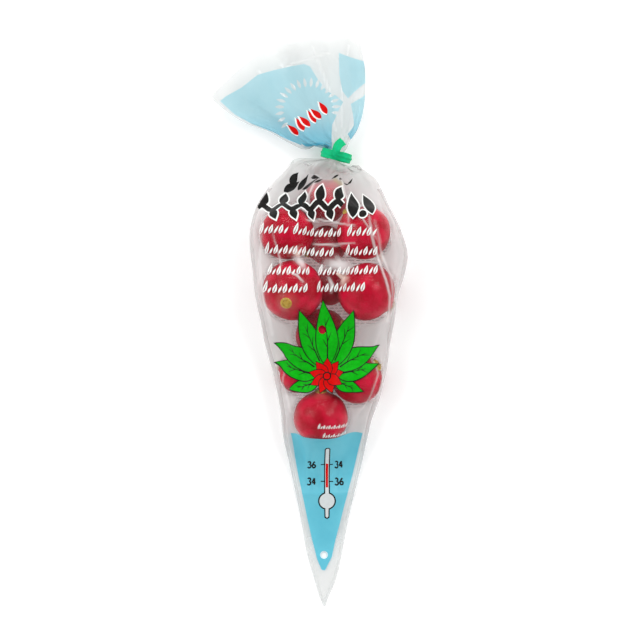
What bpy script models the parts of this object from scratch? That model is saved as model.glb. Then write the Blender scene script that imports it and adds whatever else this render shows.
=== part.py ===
"""Eleven topped radishes in a cone-shaped bag of clear film, closed by a green wire tie.

The bag lies on its back: +Y runs from the pointed tail to the open mouth, +X is to the right as
the printed side is read, and +Z is up, away from the surface. The origin is at the middle of the
bag's bounding box, on that surface. Lengths are in millimetres and become metres by MM.
"""
import math
from collections import namedtuple

import bmesh
import bpy
import numpy as np
from mathutils import Matrix, Vector

MM = 0.001

# Film: the wall is thicker than the real 0.04 mm, so that it is a solid with a sound inside.
FILM_WALL = 0.6
FILM_LINING = 0.3          # from the mid surface of the bag's outline to the inner face of the wall
FLOOR = FILM_WALL + FILM_LINING
PLY_CELLS = 18             # cells across each of the two plies
PLY_WEIGHT = 0.3           # how much the lower ply sags until it lies on the surface
VENT_DIAMETER = 4.0
VENTS = ((-2.0, 140.0, 24.0, 34.0), (-0.5, 26.0, -2.0, 8.0))   # x, y, lowest and highest z

# Neck, where the tie gathers the film, a little askew. Places near it are given across the neck
# and along it, towards the mouth, and for the tie also upwards.
NECK = Vector((4.75, 226.0, 8.0))
NECK_TILT = math.radians(15)
NECK_HALF_WIDTH = 4.2
NECK_HALF_DEPTH = 2.85
PLEATS = 7

# The lowest radishes rest on the lower ply of the film, and the others on them.
RADISH_FLOOR = FILM_WALL + 2 * FILM_LINING
RADISH_SIDES = 16
FILM_CLEARANCE = 0.5
HALF_CELL = 2.4
SHOULDER = 0.93            # height of the globe above its widest part, as a share of its radius
FOOT = 0.98                # and below it, as a share of its radius
CROWN_RADIUS = 3.0
CROWN_RIM = 0.8            # from the shoulder of the globe up to the rim of the cut crown
ROOT_RADIUS = 1.4
ROOT_END_RADIUS = 0.7

# Wire tie: a plastic strip with a rib along its middle, and a steel wire in the rib.
STRIP_WIDTH = 4.6
STRIP_THICKNESS = 0.6
RIB_DIAMETER = 1.5
BORE_DIAMETER = 0.9
WIRE_DIAMETER = 0.5
WIRE_SIDES = 6
TIE_HALF_WIDTH = 6.5       # of the rib's middle, in the turn next to the film
TIE_HALF_HEIGHT = 5.65
LAYER = RIB_DIAMETER + 0.3
TIE_ROWS = 30

# The free end of the tie, tilted where it bends forwards and then nearly flat: across, along and
# up from the neck's middle, and then the direction of the strip's width.
TAB = (
    (1.6, 0.4, 8.0, 0.45, 0.75, 0.5),
    (0.4, 1.7, 8.9, 0.8, 0.3, 0.6),
    (0.3, 3.6, 9.3, 0.95, -0.1, 0.4),
    (0.9, 5.6, 9.0, 0.95, -0.3, 0.2),
    (2.3, 7.6, 8.2, 0.85, -0.55, 0.1),
)

Radish = namedtuple("Radish", "x y rise diameter crown root")
# Centre from the bag's middle line and the tail, how far it is held above the lower ply by the
# radishes under it, diameter, the way the crown points, root length.
RADISHES = {
    "radish_top": Radish(0.0, 203.0, 0.0, 22.0, (0.55, 0.8, 0.2), 3.0),
    "radish_upper_left": Radish(-19.0, 187.0, 9.2, 27.0, (-0.39, 0.76, -0.5), 3.0),
    "radish_upper_right": Radish(19.0, 187.0, 10.2, 27.0, (-0.55, 0.8, 0.25), 4.0),
    "radish_back_upper": Radish(0.5, 181.0, 0.0, 20.0, (-0.9, -0.3, 0.1), 3.0),
    "radish_back_lower": Radish(2.2, 160.0, 0.0, 18.0, (0.9, 0.25, -0.05), 3.0),
    "radish_middle_left": Radish(-16.0, 158.3, 10.4, 30.0, (-0.2, -0.4, 0.89), 0.8),
    "radish_middle_right": Radish(20.7, 157.7, 9.9, 29.0, (0.75, -0.45, -0.3), 5.0),
    "radish_lower_centre": Radish(-1.0, 136.0, 0.0, 27.0, (0.77, 0.37, 0.52), 4.5),
    "radish_lower_right": Radish(15.9, 115.2, 0.0, 26.0, (0.62, 0.38, 0.42), 1.5),
    "radish_lower_left": Radish(-13.6, 116.7, 0.0, 19.0, (-0.75, 0.4, -0.2), 4.0),
    "radish_bottom": Radish(-2.0, 95.5, 0.0, 27.0, (0.0, 0.93, 0.35), 5.0),
}

# Stations of the film from tail to mouth: the left and right edges of the bag as it lies, the
# height of the edges, half the height of the side wall there, half the height of the gathered
# film, how far the row bulges towards the mouth, and the depth of the pleats.
Station = namedtuple("Station", "left right edge_z side half_depth bulge pleat")


def flat(y, left, right, edge_z, side=0.15, pleat=0.0):
    """A station across the filled body or the tail, where both edges are at the same height."""
    return Station((left, y), (right, y), edge_z, side, 0.0, 0.0, pleat)


TAIL_AND_BODY = [
    flat(0.6, -1.0, 0.2, 1.05),
    flat(4.5, -2.5, 1.5, 1.05),
    flat(12.5, -5.0, 5.0, 1.05),
    flat(24.5, -8.5, 8.0, 1.1),
    flat(40.5, -11.5, 11.0, 1.2),
    flat(56.5, -14.5, 14.5, 1.6),
    flat(72.5, -18.0, 18.5, 4.5, 0.4),
    flat(84.5, -20.5, 21.0, 9.0, 1.0),
    flat(96.5, -21.5, 23.5, 12.0, 1.5),
    flat(108.5, -23.5, 27.5, 13.5, 2.5),
    flat(120.5, -26.0, 30.5, 14.5, 3.5),
    flat(132.5, -29.5, 32.0, 16.5, 1.5),
    flat(144.5, -32.0, 34.5, 19.5, 3.0),
    flat(156.5, -34.8, 36.5, 22.0, 5.5),
    flat(168.5, -36.0, 40.0, 22.5, 2.0),
    flat(176.5, -37.0, 41.0, 22.5, 2.0),
    flat(184.5, -37.5, 39.0, 22.0, 3.5),
    flat(192.5, -36.5, 35.8, 20.0, 3.5),
    flat(200.5, -33.5, 31.5, 17.0, 1.0, 0.3),
    flat(208.5, -28.0, 27.5, 13.5, 0.6, 0.8),
    flat(214.5, -22.5, 24.0, 10.5, 0.6, 1.1),
    flat(218.0, -19.2, 18.8, 9.0, 0.6, 1.1),
]


def from_neck(across, along):
    """Where a place given in the neck's own directions lies in the bag's plan."""
    x_way = Vector((math.cos(NECK_TILT), -math.sin(NECK_TILT)))
    y_way = Vector((math.sin(NECK_TILT), math.cos(NECK_TILT)))
    return tuple(NECK.to_2d() + across * x_way + along * y_way)


def beside_neck(left, right, *rest):
    return Station(from_neck(*left), from_neck(*right), *rest)


def neck_station(along, half_width):
    ends = (-half_width, along), (half_width, along)
    return beside_neck(*ends, NECK.z, 0.5, NECK_HALF_DEPTH, 0.0, 0.35)


GATHER = [
    beside_neck((-12.6, -5.0), (11.4, -4.2), 7.8, 0.6, 5.2, 0.0, 0.8),
    neck_station(-3.4, NECK_HALF_WIDTH + 0.2),
    neck_station(0.0, NECK_HALF_WIDTH),
    neck_station(3.4, NECK_HALF_WIDTH + 0.2),
    beside_neck((-9.5, 3.9), (4.9, 4.6), 7.8, 0.5, 3.9, 0.5, 0.5),
    beside_neck((-13.8, -0.3), (5.3, 8.0), 7.6, 0.5, 4.6, 2.2, 0.8),
]
FAN = [
    Station((-18.5, 233.0), (15.0, 237.0), 7.2, 0.5, 4.8, 1.5, 1.2),
    Station((-27.0, 237.6), (17.5, 242.5), 7.0, 0.4, 4.4, 3.5, 1.6),
    Station((-38.0, 241.5), (19.25, 249.5), 6.6, 0.4, 3.6, 6.5, 1.9),
    Station((-45.5, 245.5), (20.0, 258.5), 6.2, 0.4, 3.0, 9.5, 2.1),
    Station((-51.5, 250.0), (19.8, 269.0), 5.9, 0.4, 2.6, 12.5, 2.2),
    Station((-57.0, 255.0), (18.0, 279.0), 5.6, 0.4, 2.2, 15.7, 2.3),
]
STATIONS = TAIL_AND_BODY + GATHER + FAN
FIRST_GATHERED = len(TAIL_AND_BODY)

# Rows of cells between each pair of stations.
ROWS_BETWEEN = [1] * 6 + [2] + [3] * 9 + [2] * 5 + [1] * 7 + [2] * 5


def clear_scene():
    for obj in list(bpy.data.objects):
        bpy.data.objects.remove(obj, do_unlink=True)


def material(name, colour, roughness, metallic=0.0, alpha=1.0):
    made = bpy.data.materials.new(name)
    made.use_nodes = True
    shader = made.node_tree.nodes["Principled BSDF"]
    shader.inputs["Base Color"].default_value = (*colour, 1.0)
    shader.inputs["Roughness"].default_value = roughness
    shader.inputs["Metallic"].default_value = metallic
    shader.inputs["Alpha"].default_value = alpha
    return made


def collection(name):
    made = bpy.data.collections.new(name)
    bpy.context.scene.collection.children.link(made)
    return made


def add_object(name, mesh, home, finish):
    obj = bpy.data.objects.new(name, mesh)
    home.objects.link(obj)
    mesh.materials.append(finish)
    return obj


# Radishes

def radish_place(radish):
    """The middle of a radish that rests on the lower ply or on others, in millimetres."""
    return Vector((radish.x, radish.y, RADISH_FLOOR + radish.rise + radish.diameter / 2))


def radish_profile(radish):
    """Half outline from the cut crown down the outer side to the end of the tap root."""
    r = radish.diameter / 2
    shoulder, foot = SHOULDER * r, FOOT * r
    outline = [
        (0.0, r + CROWN_RIM + 0.3),
        (0.75 * CROWN_RADIUS, r + CROWN_RIM + 0.5),
        (CROWN_RADIUS, r + CROWN_RIM),
    ]
    for degrees in (66, 46, 26, 5, -16, -37, -57, -74):
        a = math.radians(degrees)
        tall = shoulder if degrees > 0 else foot
        outline.append((r * math.cos(a), tall * math.sin(a)))
    outline += [
        (ROOT_RADIUS, -r),
        (ROOT_END_RADIUS, -r - radish.root),
        (0.0, -r - radish.root),
    ]
    return outline


def add_radish(name, radish, home, finish):
    points = [(x * MM, 0.0, z * MM) for x, z in radish_profile(radish)]
    mesh = bpy.data.meshes.new(name)
    mesh.from_pydata(points, [(i, i + 1) for i in range(len(points) - 1)], [])
    obj = add_object(name, mesh, home, finish)
    turn = obj.modifiers.new("turned about its axis", "SCREW")
    turn.steps = turn.render_steps = RADISH_SIDES
    turn.use_merge_vertices = True
    turn.merge_threshold = 0.00005
    turn.use_smooth_shade = True
    obj.rotation_mode = "QUATERNION"
    obj.rotation_quaternion = Vector(radish.crown).to_track_quat("Z", "X")
    obj.location = radish_place(radish) * MM
    return obj


def solid_balls():
    """Balls round the globes, crowns and root ends, which the film passes, and how far it keeps
    clear sideways too: the small ones would slip through between two points of the film."""
    balls = []
    for radish in RADISHES.values():
        middle = radish_place(radish)
        crown = Vector(radish.crown).normalized()
        r = radish.diameter / 2
        balls.append((middle, r, 0.0))
        for height, small in ((r + CROWN_RIM, CROWN_RADIUS), (-r - radish.root, ROOT_END_RADIUS)):
            inset = math.copysign(abs(height) - small, height)
            balls.append((middle + inset * crown, math.sqrt(2) * small, HALF_CELL))
    return balls


# Film

def smooth_rows(values, counts):
    """Values at every row, on a smooth curve through the values at the stations."""
    values = np.asarray(values, float)
    slopes = np.gradient(values, np.cumsum([0] + counts), axis=0)
    rows = []
    for i, count in enumerate(counts):
        for step in range(count):
            t = step / count
            a, b = values[i], values[i + 1]
            rise, fall = slopes[i] * count, slopes[i + 1] * count
            rows.append(
                (2 * t**3 - 3 * t**2 + 1) * a + (t**3 - 2 * t**2 + t) * rise
                + (3 * t**2 - 2 * t**3) * b + (t**3 - t**2) * fall
            )
    return np.array(rows + [values[-1]])


def stand_off(xy, side):
    """The lowest (side 1) or highest (side -1) height at which film clears the radishes."""
    bound = np.full(xy.shape[:2], -1e3)
    for middle, radius, pad in solid_balls():
        distance = np.linalg.norm(xy - np.array(middle.to_2d()), axis=-1) - pad
        reach = (radius + FILM_CLEARANCE) ** 2 - np.maximum(distance, 0.0) ** 2
        over = side * middle.z + np.sqrt(np.maximum(reach, 0.0))
        bound = np.where(reach > 0, np.maximum(bound, over), bound)
    return side * bound


def taut(xy, z, side, rows):
    """Film stretched over the radishes: each point moves to the mean of its neighbours, by their
    distances, and stops at the radishes and at the surface that the bag lies on."""
    bound = stand_off(xy, side)
    along = np.linalg.norm(np.diff(xy, axis=0), axis=-1)
    across = np.linalg.norm(np.diff(xy, axis=1), axis=-1)
    before, after = 1 / along[:-1, 1:-1], 1 / along[1:, 1:-1]
    left, right = 1 / across[1:-1, :-1], 1 / across[1:-1, 1:]
    whole = before + after + left + right
    for _ in range(1500):
        mean = (
            before * z[:-2, 1:-1] + after * z[2:, 1:-1]
            + left * z[1:-1, :-2] + right * z[1:-1, 2:]
        ) / whole
        if side > 0:
            mean = np.maximum(mean, bound[1:-1, 1:-1])
        else:
            mean = np.maximum(np.minimum(mean - PLY_WEIGHT, bound[1:-1, 1:-1]), FLOOR)
        z[1:rows, 1:-1] = mean[:rows - 1]
    return z


def film_rows():
    """Mid-surface points of the bag as rows of closed loops, from the tail to the mouth."""
    counts = ROWS_BETWEEN
    left = smooth_rows([s.left for s in STATIONS], counts)
    right = smooth_rows([s.right for s in STATIONS], counts)
    edge_z, side, half_depth, bulge, pleat = smooth_rows([s[2:] for s in STATIONS], counts).T
    side = np.maximum(side, 0.12)
    gathered = sum(counts[:FIRST_GATHERED])

    s = np.linspace(0, 1, PLY_CELLS + 1)
    rounding = np.clip(half_depth / NECK_HALF_DEPTH, 0, 1)[:, None]
    across = (1 - rounding) * s + rounding * (0.5 - 0.5 * np.cos(math.pi * s))
    xy = left[:, None] + across[..., None] * (right - left)[:, None]
    arch = np.sin(math.pi * across)
    xy[..., 1] += bulge[:, None] * arch ** (0.5 + 0.3 * (across < 0.5))

    plies = []
    for way in (1, -1):
        z = edge_z[:, None] + way * (side[:, None] + half_depth[:, None] * arch)
        z = taut(xy, z, way, gathered)
        plies.append(np.concatenate([xy, np.maximum(z, FLOOR)[..., None]], axis=-1))
    upper, lower = plies
    seams = [
        np.concatenate([edge, edge_z[:, None]], axis=-1)[:, None] for edge in (left, right)
    ]
    loops = np.concatenate([seams[0], upper, seams[1], lower[:, ::-1]], axis=1)
    return loops, pleat


def outward(loops):
    """Unit normals of a grid of closed loops."""
    round_loop = np.roll(loops, -1, axis=1) - np.roll(loops, 1, axis=1)
    normals = np.cross(round_loop, np.gradient(loops, axis=0))
    return normals / np.linalg.norm(normals, axis=-1, keepdims=True)


def pleated(loops, pleat):
    """The loops with the pleats that fan out from the neck. Both plies rise and fall together,
    and the pleats are shallow where the plies are close."""
    count = loops.shape[1]
    wave = np.sin(2 * math.pi * PLEATS * np.arange(count) / count)
    thick = np.abs(loops[..., 2] - loops[:, ::-1, 2])
    depth = pleat[:, None] * np.clip(thick / 6.0, 0.1, 1.0)
    moved = loops + (depth * wave)[..., None] * outward(loops)
    moved[..., 2] = np.maximum(moved[..., 2], FLOOR)
    return moved


def add_film(home, cutters, finish):
    loops, pleat = film_rows()
    loops = pleated(loops, pleat)
    inner = loops + FILM_LINING * outward(loops)
    rows, count = inner.shape[:2]
    points = [tuple(p) for p in (inner.reshape(-1, 3) * MM)]
    tip = inner[0].mean(axis=0) - np.array([0.0, FILM_LINING, 0.0])
    points.append(tuple(tip * MM))
    faces = []
    for row in range(rows - 1):
        for i in range(count):
            a, b = row * count + i, row * count + (i + 1) % count
            faces.append((a, b, b + count, a + count))
    faces += [(rows * count, (i + 1) % count, i) for i in range(count)]
    mesh = bpy.data.meshes.new("bag_film")
    mesh.from_pydata(points, [], faces)
    obj = add_object("bag_film", mesh, home, finish)
    wall = obj.modifiers.new("wall", "SOLIDIFY")
    wall.thickness = FILM_WALL * MM
    wall.offset = 1.0
    mesh.shade_smooth()
    for number, vent in enumerate(VENTS):
        cut = obj.modifiers.new(f"vent {number + 1}", "BOOLEAN")
        cut.operation = "DIFFERENCE"
        cut.object = add_vent_cutter(f"vent_cutter_{number + 1}", vent, cutters)
    return obj


def add_vent_cutter(name, vent, home):
    x, y, low, high = vent
    mesh = bpy.data.meshes.new(name)
    form = bmesh.new()
    bmesh.ops.create_cone(
        form, cap_ends=True, segments=12, depth=(high - low) * MM,
        radius1=VENT_DIAMETER / 2 * MM, radius2=VENT_DIAMETER / 2 * MM,
        matrix=Matrix.Translation(Vector((x, y, (low + high) / 2)) * MM),
    )
    form.to_mesh(mesh)
    form.free()
    obj = bpy.data.objects.new(name, mesh)
    home.objects.link(obj)
    obj.hide_render = True
    obj.display_type = "WIRE"
    return obj


# Tie

def tie_rows():
    """Middle of the tie's rib, direction of travel and direction of the strip's width. The tie
    starts at the upper right, winds once round the neck and over its own start, and rises."""
    turn = np.radians(np.linspace(45, -325, TIE_ROWS))
    climb = np.clip((np.radians(-220) - turn) / np.radians(60), 0, 1)
    layer = LAYER * climb**2 * (3 - 2 * climb)
    wound = np.stack([
        (TIE_HALF_WIDTH + layer) * np.sin(turn),
        np.linspace(-0.2, 0.2, TIE_ROWS),
        (TIE_HALF_HEIGHT + layer) * np.cos(turn),
    ], axis=-1)
    level = np.tile([0.0, 1.0, 0.0], (TIE_ROWS, 1))
    last = np.concatenate([wound[-1], level[-1]])
    free = smooth_rows(np.vstack([last, TAB]), [2] * len(TAB))[1:]
    middle = np.concatenate([wound, free[:, :3]])
    width = np.concatenate([level, free[:, 3:]])

    travel = np.gradient(middle, axis=0)
    travel /= np.linalg.norm(travel, axis=1, keepdims=True)
    width -= (width * travel).sum(axis=1, keepdims=True) * travel
    width /= np.linalg.norm(width, axis=1, keepdims=True)
    return middle, travel, width


def strip_section():
    """Outline of the strip with its rib, and the bore at the same angles: width and thickness."""
    r, edge, half = RIB_DIAMETER / 2, STRIP_WIDTH / 2, STRIP_THICKNESS / 2
    root = math.asin(half / r)
    crest = [root, math.pi / 2 - 0.4, math.pi / 2 + 0.4, math.pi - root]
    upper = [(edge, half)] + [(r * math.cos(a), r * math.sin(a)) for a in crest] + [(-edge, half)]
    outline = upper + [(-x, -y) for x, y in upper]
    angles = [math.atan2(y, x) for x, y in outline]
    bore = [(BORE_DIAMETER / 2 * math.cos(a), BORE_DIAMETER / 2 * math.sin(a)) for a in angles]
    return outline, bore


def wire_section():
    angles = [2 * math.pi * i / WIRE_SIDES for i in range(WIRE_SIDES)]
    return [(WIRE_DIAMETER / 2 * math.cos(a), WIRE_DIAMETER / 2 * math.sin(a)) for a in angles]


def swept(section):
    """A section carried along the tie, as rows of points in the bag's directions."""
    middle, travel, width = tie_rows()
    thickness = np.cross(travel, width)
    points = (
        middle[:, None]
        + np.array(section)[None, :, :1] * width[:, None]
        + np.array(section)[None, :, 1:] * thickness[:, None]
    )
    c, s = math.cos(NECK_TILT), math.sin(NECK_TILT)
    to_bag = np.array([[c, -s, 0.0], [s, c, 0.0], [0.0, 0.0, 1.0]])
    return points @ to_bag + np.array(NECK)


def tube_faces(rows, count, start, outwards):
    faces = []
    for row in range(rows - 1):
        for i in range(count):
            a, b = start + row * count + i, start + row * count + (i + 1) % count
            face = (a, b, b + count, a + count)
            faces.append(face if outwards else face[::-1])
    return faces


def add_tie_strip(home, finish):
    outline, bore = strip_section()
    outer, inner = swept(outline), swept(bore)
    rows, count = outer.shape[:2]
    points = np.concatenate([outer.reshape(-1, 3), inner.reshape(-1, 3)]) * MM
    faces = tube_faces(rows, count, 0, True) + tube_faces(rows, count, rows * count, False)
    for row in (0, rows - 1):
        for i in range(count):
            a, b = row * count + i, row * count + (i + 1) % count
            face = (b, a, a + rows * count, b + rows * count)
            faces.append(face if row == 0 else face[::-1])
    mesh = bpy.data.meshes.new("tie_strip")
    mesh.from_pydata([tuple(p) for p in points], [], faces)
    return add_object("tie_strip", mesh, home, finish)


def add_tie_wire(home, finish):
    rows = swept(wire_section())
    count = rows.shape[1]
    faces = tube_faces(len(rows), count, 0, True)
    faces.append(tuple(reversed(range(count))))
    faces.append(tuple(range(rows.size // 3 - count, rows.size // 3)))
    mesh = bpy.data.meshes.new("tie_wire")
    mesh.from_pydata([tuple(p) for p in rows.reshape(-1, 3) * MM], [], faces)
    return add_object("tie_wire", mesh, home, finish)


def centre_on_origin(film, objects):
    """Moves everything so that the origin is under the middle of the film's bounding box, which
    is the whole bag's, since nothing reaches past the film."""
    bpy.context.view_layer.update()
    box = film.evaluated_get(bpy.context.evaluated_depsgraph_get()).bound_box
    low = Vector(min(corner[i] for corner in box) for i in range(3))
    high = Vector(max(corner[i] for corner in box) for i in range(3))
    for obj in objects:
        obj.location -= Vector(((low.x + high.x) / 2, (low.y + high.y) / 2, low.z))


def main():
    clear_scene()
    bag = collection("bag of radishes")
    cutters = collection("cutters")
    skin = material("radish skin", (0.52, 0.01, 0.05), 0.35)
    film = material("clear film", (0.85, 0.88, 0.87), 0.15, alpha=0.35)
    strip = material("green tie strip", (0.01, 0.62, 0.24), 0.4)
    steel = material("tie wire", (0.55, 0.55, 0.56), 0.35, metallic=1.0)
    for name, radish in RADISHES.items():
        add_radish(name, radish, bag, skin)
    bag_film = add_film(bag, cutters, film)
    add_tie_strip(bag, strip)
    add_tie_wire(bag, steel)
    centre_on_origin(bag_film, [*bag.objects, *cutters.objects])


main()
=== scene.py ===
import math

import bmesh
import bpy
import numpy as np
from mathutils import Matrix, Vector
from mathutils.geometry import delaunay_2d_cdt


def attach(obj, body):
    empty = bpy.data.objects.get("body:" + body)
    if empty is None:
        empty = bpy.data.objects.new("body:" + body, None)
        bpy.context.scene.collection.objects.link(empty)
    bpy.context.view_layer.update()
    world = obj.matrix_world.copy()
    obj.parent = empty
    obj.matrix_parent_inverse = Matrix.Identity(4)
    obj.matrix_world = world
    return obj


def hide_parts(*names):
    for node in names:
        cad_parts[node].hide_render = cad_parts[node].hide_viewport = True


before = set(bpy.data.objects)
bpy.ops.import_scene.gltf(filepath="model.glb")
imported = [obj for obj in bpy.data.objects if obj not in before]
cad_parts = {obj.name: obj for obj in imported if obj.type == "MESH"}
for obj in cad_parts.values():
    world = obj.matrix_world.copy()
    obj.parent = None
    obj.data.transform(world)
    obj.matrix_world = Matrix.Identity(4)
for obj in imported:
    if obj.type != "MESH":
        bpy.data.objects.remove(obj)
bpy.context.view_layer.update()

# Radishes: eleven topped garden radishes, white flesh under a thin waxy crimson skin. Their leaves
# were cut off just above the crown and the tap root was trimmed. They lie loose in the bag, four
# large ones on smaller ones.
MM = 0.001
SHIFT = np.array([7.848, -143.0315, 0.0])     # from the bag's middle line and tail to the part's, mm
RADISH_REST = 1.2
CROWN_RADIUS, CROWN_RIM = 3.0, 0.8
ROOT_THICK, ROOT_END = 1.35, 0.55
ROOT_SHORTER, ROOT_SHORTEST = 0.7, 0.4        # room for the root's bend and its rounded end
SHOULDER, FOOT = 0.93, 0.98
# x, y, height above the lower ply, diameter, the way the crown points, root length
RADISHES = {
    "radish_top": (0, 203, 0, 22, (0.55, 0.8, 0.2), 3),
    "radish_upper_left": (-19, 187, 9.2, 27, (-0.39, 0.76, -0.5), 3),
    "radish_upper_right": (19, 187, 10.2, 27, (-0.55, 0.8, 0.25), 4),
    "radish_back_upper": (0.5, 181, 0, 20, (-0.9, -0.3, 0.1), 3),
    "radish_back_lower": (2.2, 160, 0, 18, (0.9, 0.25, -0.05), 3),
    "radish_middle_left": (-16, 158.3, 10.4, 30, (-0.2, -0.4, 0.89), 0.8),
    "radish_middle_right": (20.7, 157.7, 9.9, 29, (0.75, -0.45, -0.3), 5),
    "radish_lower_centre": (-1, 136, 0, 27, (0.77, 0.37, 0.52), 4.5),
    "radish_lower_right": (15.9, 115.2, 0, 26, (0.62, 0.38, 0.42), 1.5),
    "radish_lower_left": (-13.6, 116.7, 0, 19, (-0.75, 0.4, -0.2), 4),
    "radish_bottom": (-2, 95.5, 0, 27, (0, 0.93, 0.35), 5),
}
RADISH_SIDES, RADISH_ROWS = 72, 84
RADISH_LUMP, RADISH_LUMP_SIZE = 1.1, 13.0
ROOT_BEND = 45.0
STALK_STUBS, STUB_LENGTH, STUB_RADIUS = 9, 0.9, 0.55
STUB_RING = 0.62                              # radius of the ring of stubs as a share of the crown's


def linear(colour):
    """A hex sRGB colour as the linear colour that a shader takes."""
    parts = [int(colour[i:i + 2], 16) / 255 for i in (1, 3, 5)]
    return (*[c / 12.92 if c <= 0.04045 else ((c + 0.055) / 1.055) ** 2.4 for c in parts], 1.0)


def node(tree, kind, *values, named=None, out=0, **settings):
    """Adds a node with its settings: a shader node unless its kind says another, with the operation
    that follows the kind. Values fill its inputs in order, and named ones by name or number: a
    socket is linked, a hex colour is made linear and None is passed over. Returns an output."""
    kind, *operation = kind.split()
    other = kind.startswith(("Geometry", "Function", "NodeGroup"))
    made = tree.nodes.new(kind if other else "ShaderNode" + kind)
    for key, value in (*settings.items(), *zip(["operation"], operation)):
        setattr(made, key, value)
    pairs = list(zip(made.inputs, values)) + [(made.inputs[k], v) for k, v in (named or {}).items()]
    for socket, value in pairs:
        if isinstance(value, bpy.types.NodeSocket):
            tree.links.new(value, socket)
        elif value is not None:
            socket.default_value = linear(value) if str(value).startswith("#") else value
    return made.outputs[out] if made.outputs else made


def finish(name, attribute=None):
    """A new material, its empty tree of shader nodes and the place that its patterns read: an
    attribute of the piece, or else Object coordinates."""
    made = bpy.data.materials.new(name)
    made.use_nodes = True
    tree = made.node_tree
    tree.nodes.clear()
    if attribute:
        return made, tree, node(tree, "Attribute", attribute_name=attribute, out=1)
    return made, tree, node(tree, "TexCoord", out=3)


def toned(tree, pattern, low, high, colour, other, least=0.0, most=1.0):
    """A colour that turns into another where a pattern rises from low to high: by the least share
    below that range and by the most above it."""
    share = node(tree, "MapRange", pattern, low, high, least, most, interpolation_type="SMOOTHSTEP")
    return node(tree, "Mix", share, named={6: colour, 7: other}, out=2, data_type="RGBA")


def radish_skin():
    """Waxy crimson skin: deep red with paler clouds 9 mm wide, a grain of 0.8 mm, faint pale cork
    marks 2 mm long round it, a paler and duller shoulder, and a root that turns white. It gives
    the soft broad shine of a washed root."""
    made, tree, place = finish("waxy_crimson_skin", "own_place")
    share = node(tree, "Attribute", attribute_name="height_share", out=2)
    clouds = node(tree, "TexNoise", place, named={"Scale": 0.11, "Detail": 3.0, "Roughness": 0.6})
    grain = node(tree, "TexNoise", place, named={"Scale": 1.3, "Detail": 4.0, "Roughness": 0.7})
    flat_place = node(tree, "VectorMath MULTIPLY", place, (0.55, 0.55, 3.6))
    marks = node(tree, "TexNoise", flat_place, named={"Scale": 0.85, "Detail": 2.0, "Roughness": 0.5})
    red = toned(tree, clouds, 0.35, 0.66, "#AE0220", "#D60B39")
    red = toned(tree, grain, 0.5, 0.8, red, "#96011E", 0.0, 0.35)
    red = toned(tree, marks, 0.64, 0.74, red, "#D4566A", 0.0, 0.3)
    red = toned(tree, share, 0.8, 0.96, red, "#B4544C", 0.0, 0.5)
    ragged = node(tree, "MapRange", clouds, 0.3, 0.7, -0.05, 0.05, interpolation_type="SMOOTHSTEP")
    tail = node(tree, "Math ADD", ragged, share)
    red = toned(tree, tail, -1.04, -0.9, red, "#EBD3C6", 1.0, 0.0)
    ripple = node(tree, "Bump", 0.22, 0.0004, named={"Height": grain})
    rough = node(tree, "MapRange", grain, 0.3, 0.7, 0.34, 0.5, interpolation_type="SMOOTHSTEP")
    shader = node(tree, "BsdfPrincipled", red, named={
        "Roughness": rough, "IOR": 1.45, "Specular IOR Level": 0.12, "Coat Weight": 0.06,
        "Coat Roughness": 0.18, "Normal": ripple})
    node(tree, "OutputMaterial", shader)
    return made


def cut_crown():
    """Cut crown: dry yellow and olive leaf stalks of 1.3 mm, cut across, with darker joints and a
    coarse dull grain of 0.9 mm. It reads as the flat light spot on a radish."""
    made, tree, place = finish("cut_leaf_stalks", "own_place")
    fibre = node(tree, "TexNoise", place, named={"Scale": 1.1, "Detail": 5.0, "Roughness": 0.7})
    cells = node(tree, "TexVoronoi", place, named={"Scale": 0.75}, feature="DISTANCE_TO_EDGE")
    tan = toned(tree, fibre, 0.35, 0.65, "#B8912A", "#D0B24E")
    tan = toned(tree, cells, 0.0, 0.12, tan, "#9A7F2C", 0.4, 0.0)
    rough = node(tree, "Bump", 0.6, 0.0006, named={"Height": fibre})
    shader = node(tree, "BsdfPrincipled", tan, named={"Roughness": 0.68, "IOR": 1.45, "Normal": rough})
    node(tree, "OutputMaterial", shader)
    return made


def in_scene(name, data):
    """A new object, linked to the scene."""
    made = bpy.data.objects.new(name, data)
    bpy.context.scene.collection.objects.link(made)
    return made


def geometry_tree(name, inputs):
    """An empty tree of geometry nodes with named inputs, and its input sockets by name."""
    tree = bpy.data.node_groups.new(name, "GeometryNodeTree")
    tree.interface.new_socket("Geometry", in_out="OUTPUT", socket_type="NodeSocketGeometry")
    for key, kind in {"Geometry": "Geometry", **inputs}.items():
        tree.interface.new_socket(key, in_out="INPUT", socket_type="NodeSocket" + kind)
    node(tree, "NodeGroupInput")
    return tree, {socket.name: socket for socket in tree.nodes[0].outputs}


def made_by(tree, base, values):
    """The plain mesh that a tree of geometry nodes makes from a base mesh and its inputs."""
    carrier = in_scene(base.name, base)
    grow = carrier.modifiers.new(tree.name, "NODES")
    grow.node_group = tree
    sockets = {s.name: s.identifier for s in tree.interface.items_tree if s.in_out == "INPUT"}
    for key, value in values.items():
        grow[sockets[key]] = value
    bpy.context.view_layer.update()
    graph = bpy.context.evaluated_depsgraph_get()
    mesh = bpy.data.meshes.new_from_object(carrier.evaluated_get(graph), depsgraph=graph)
    bpy.data.objects.remove(carrier)
    return mesh


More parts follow.
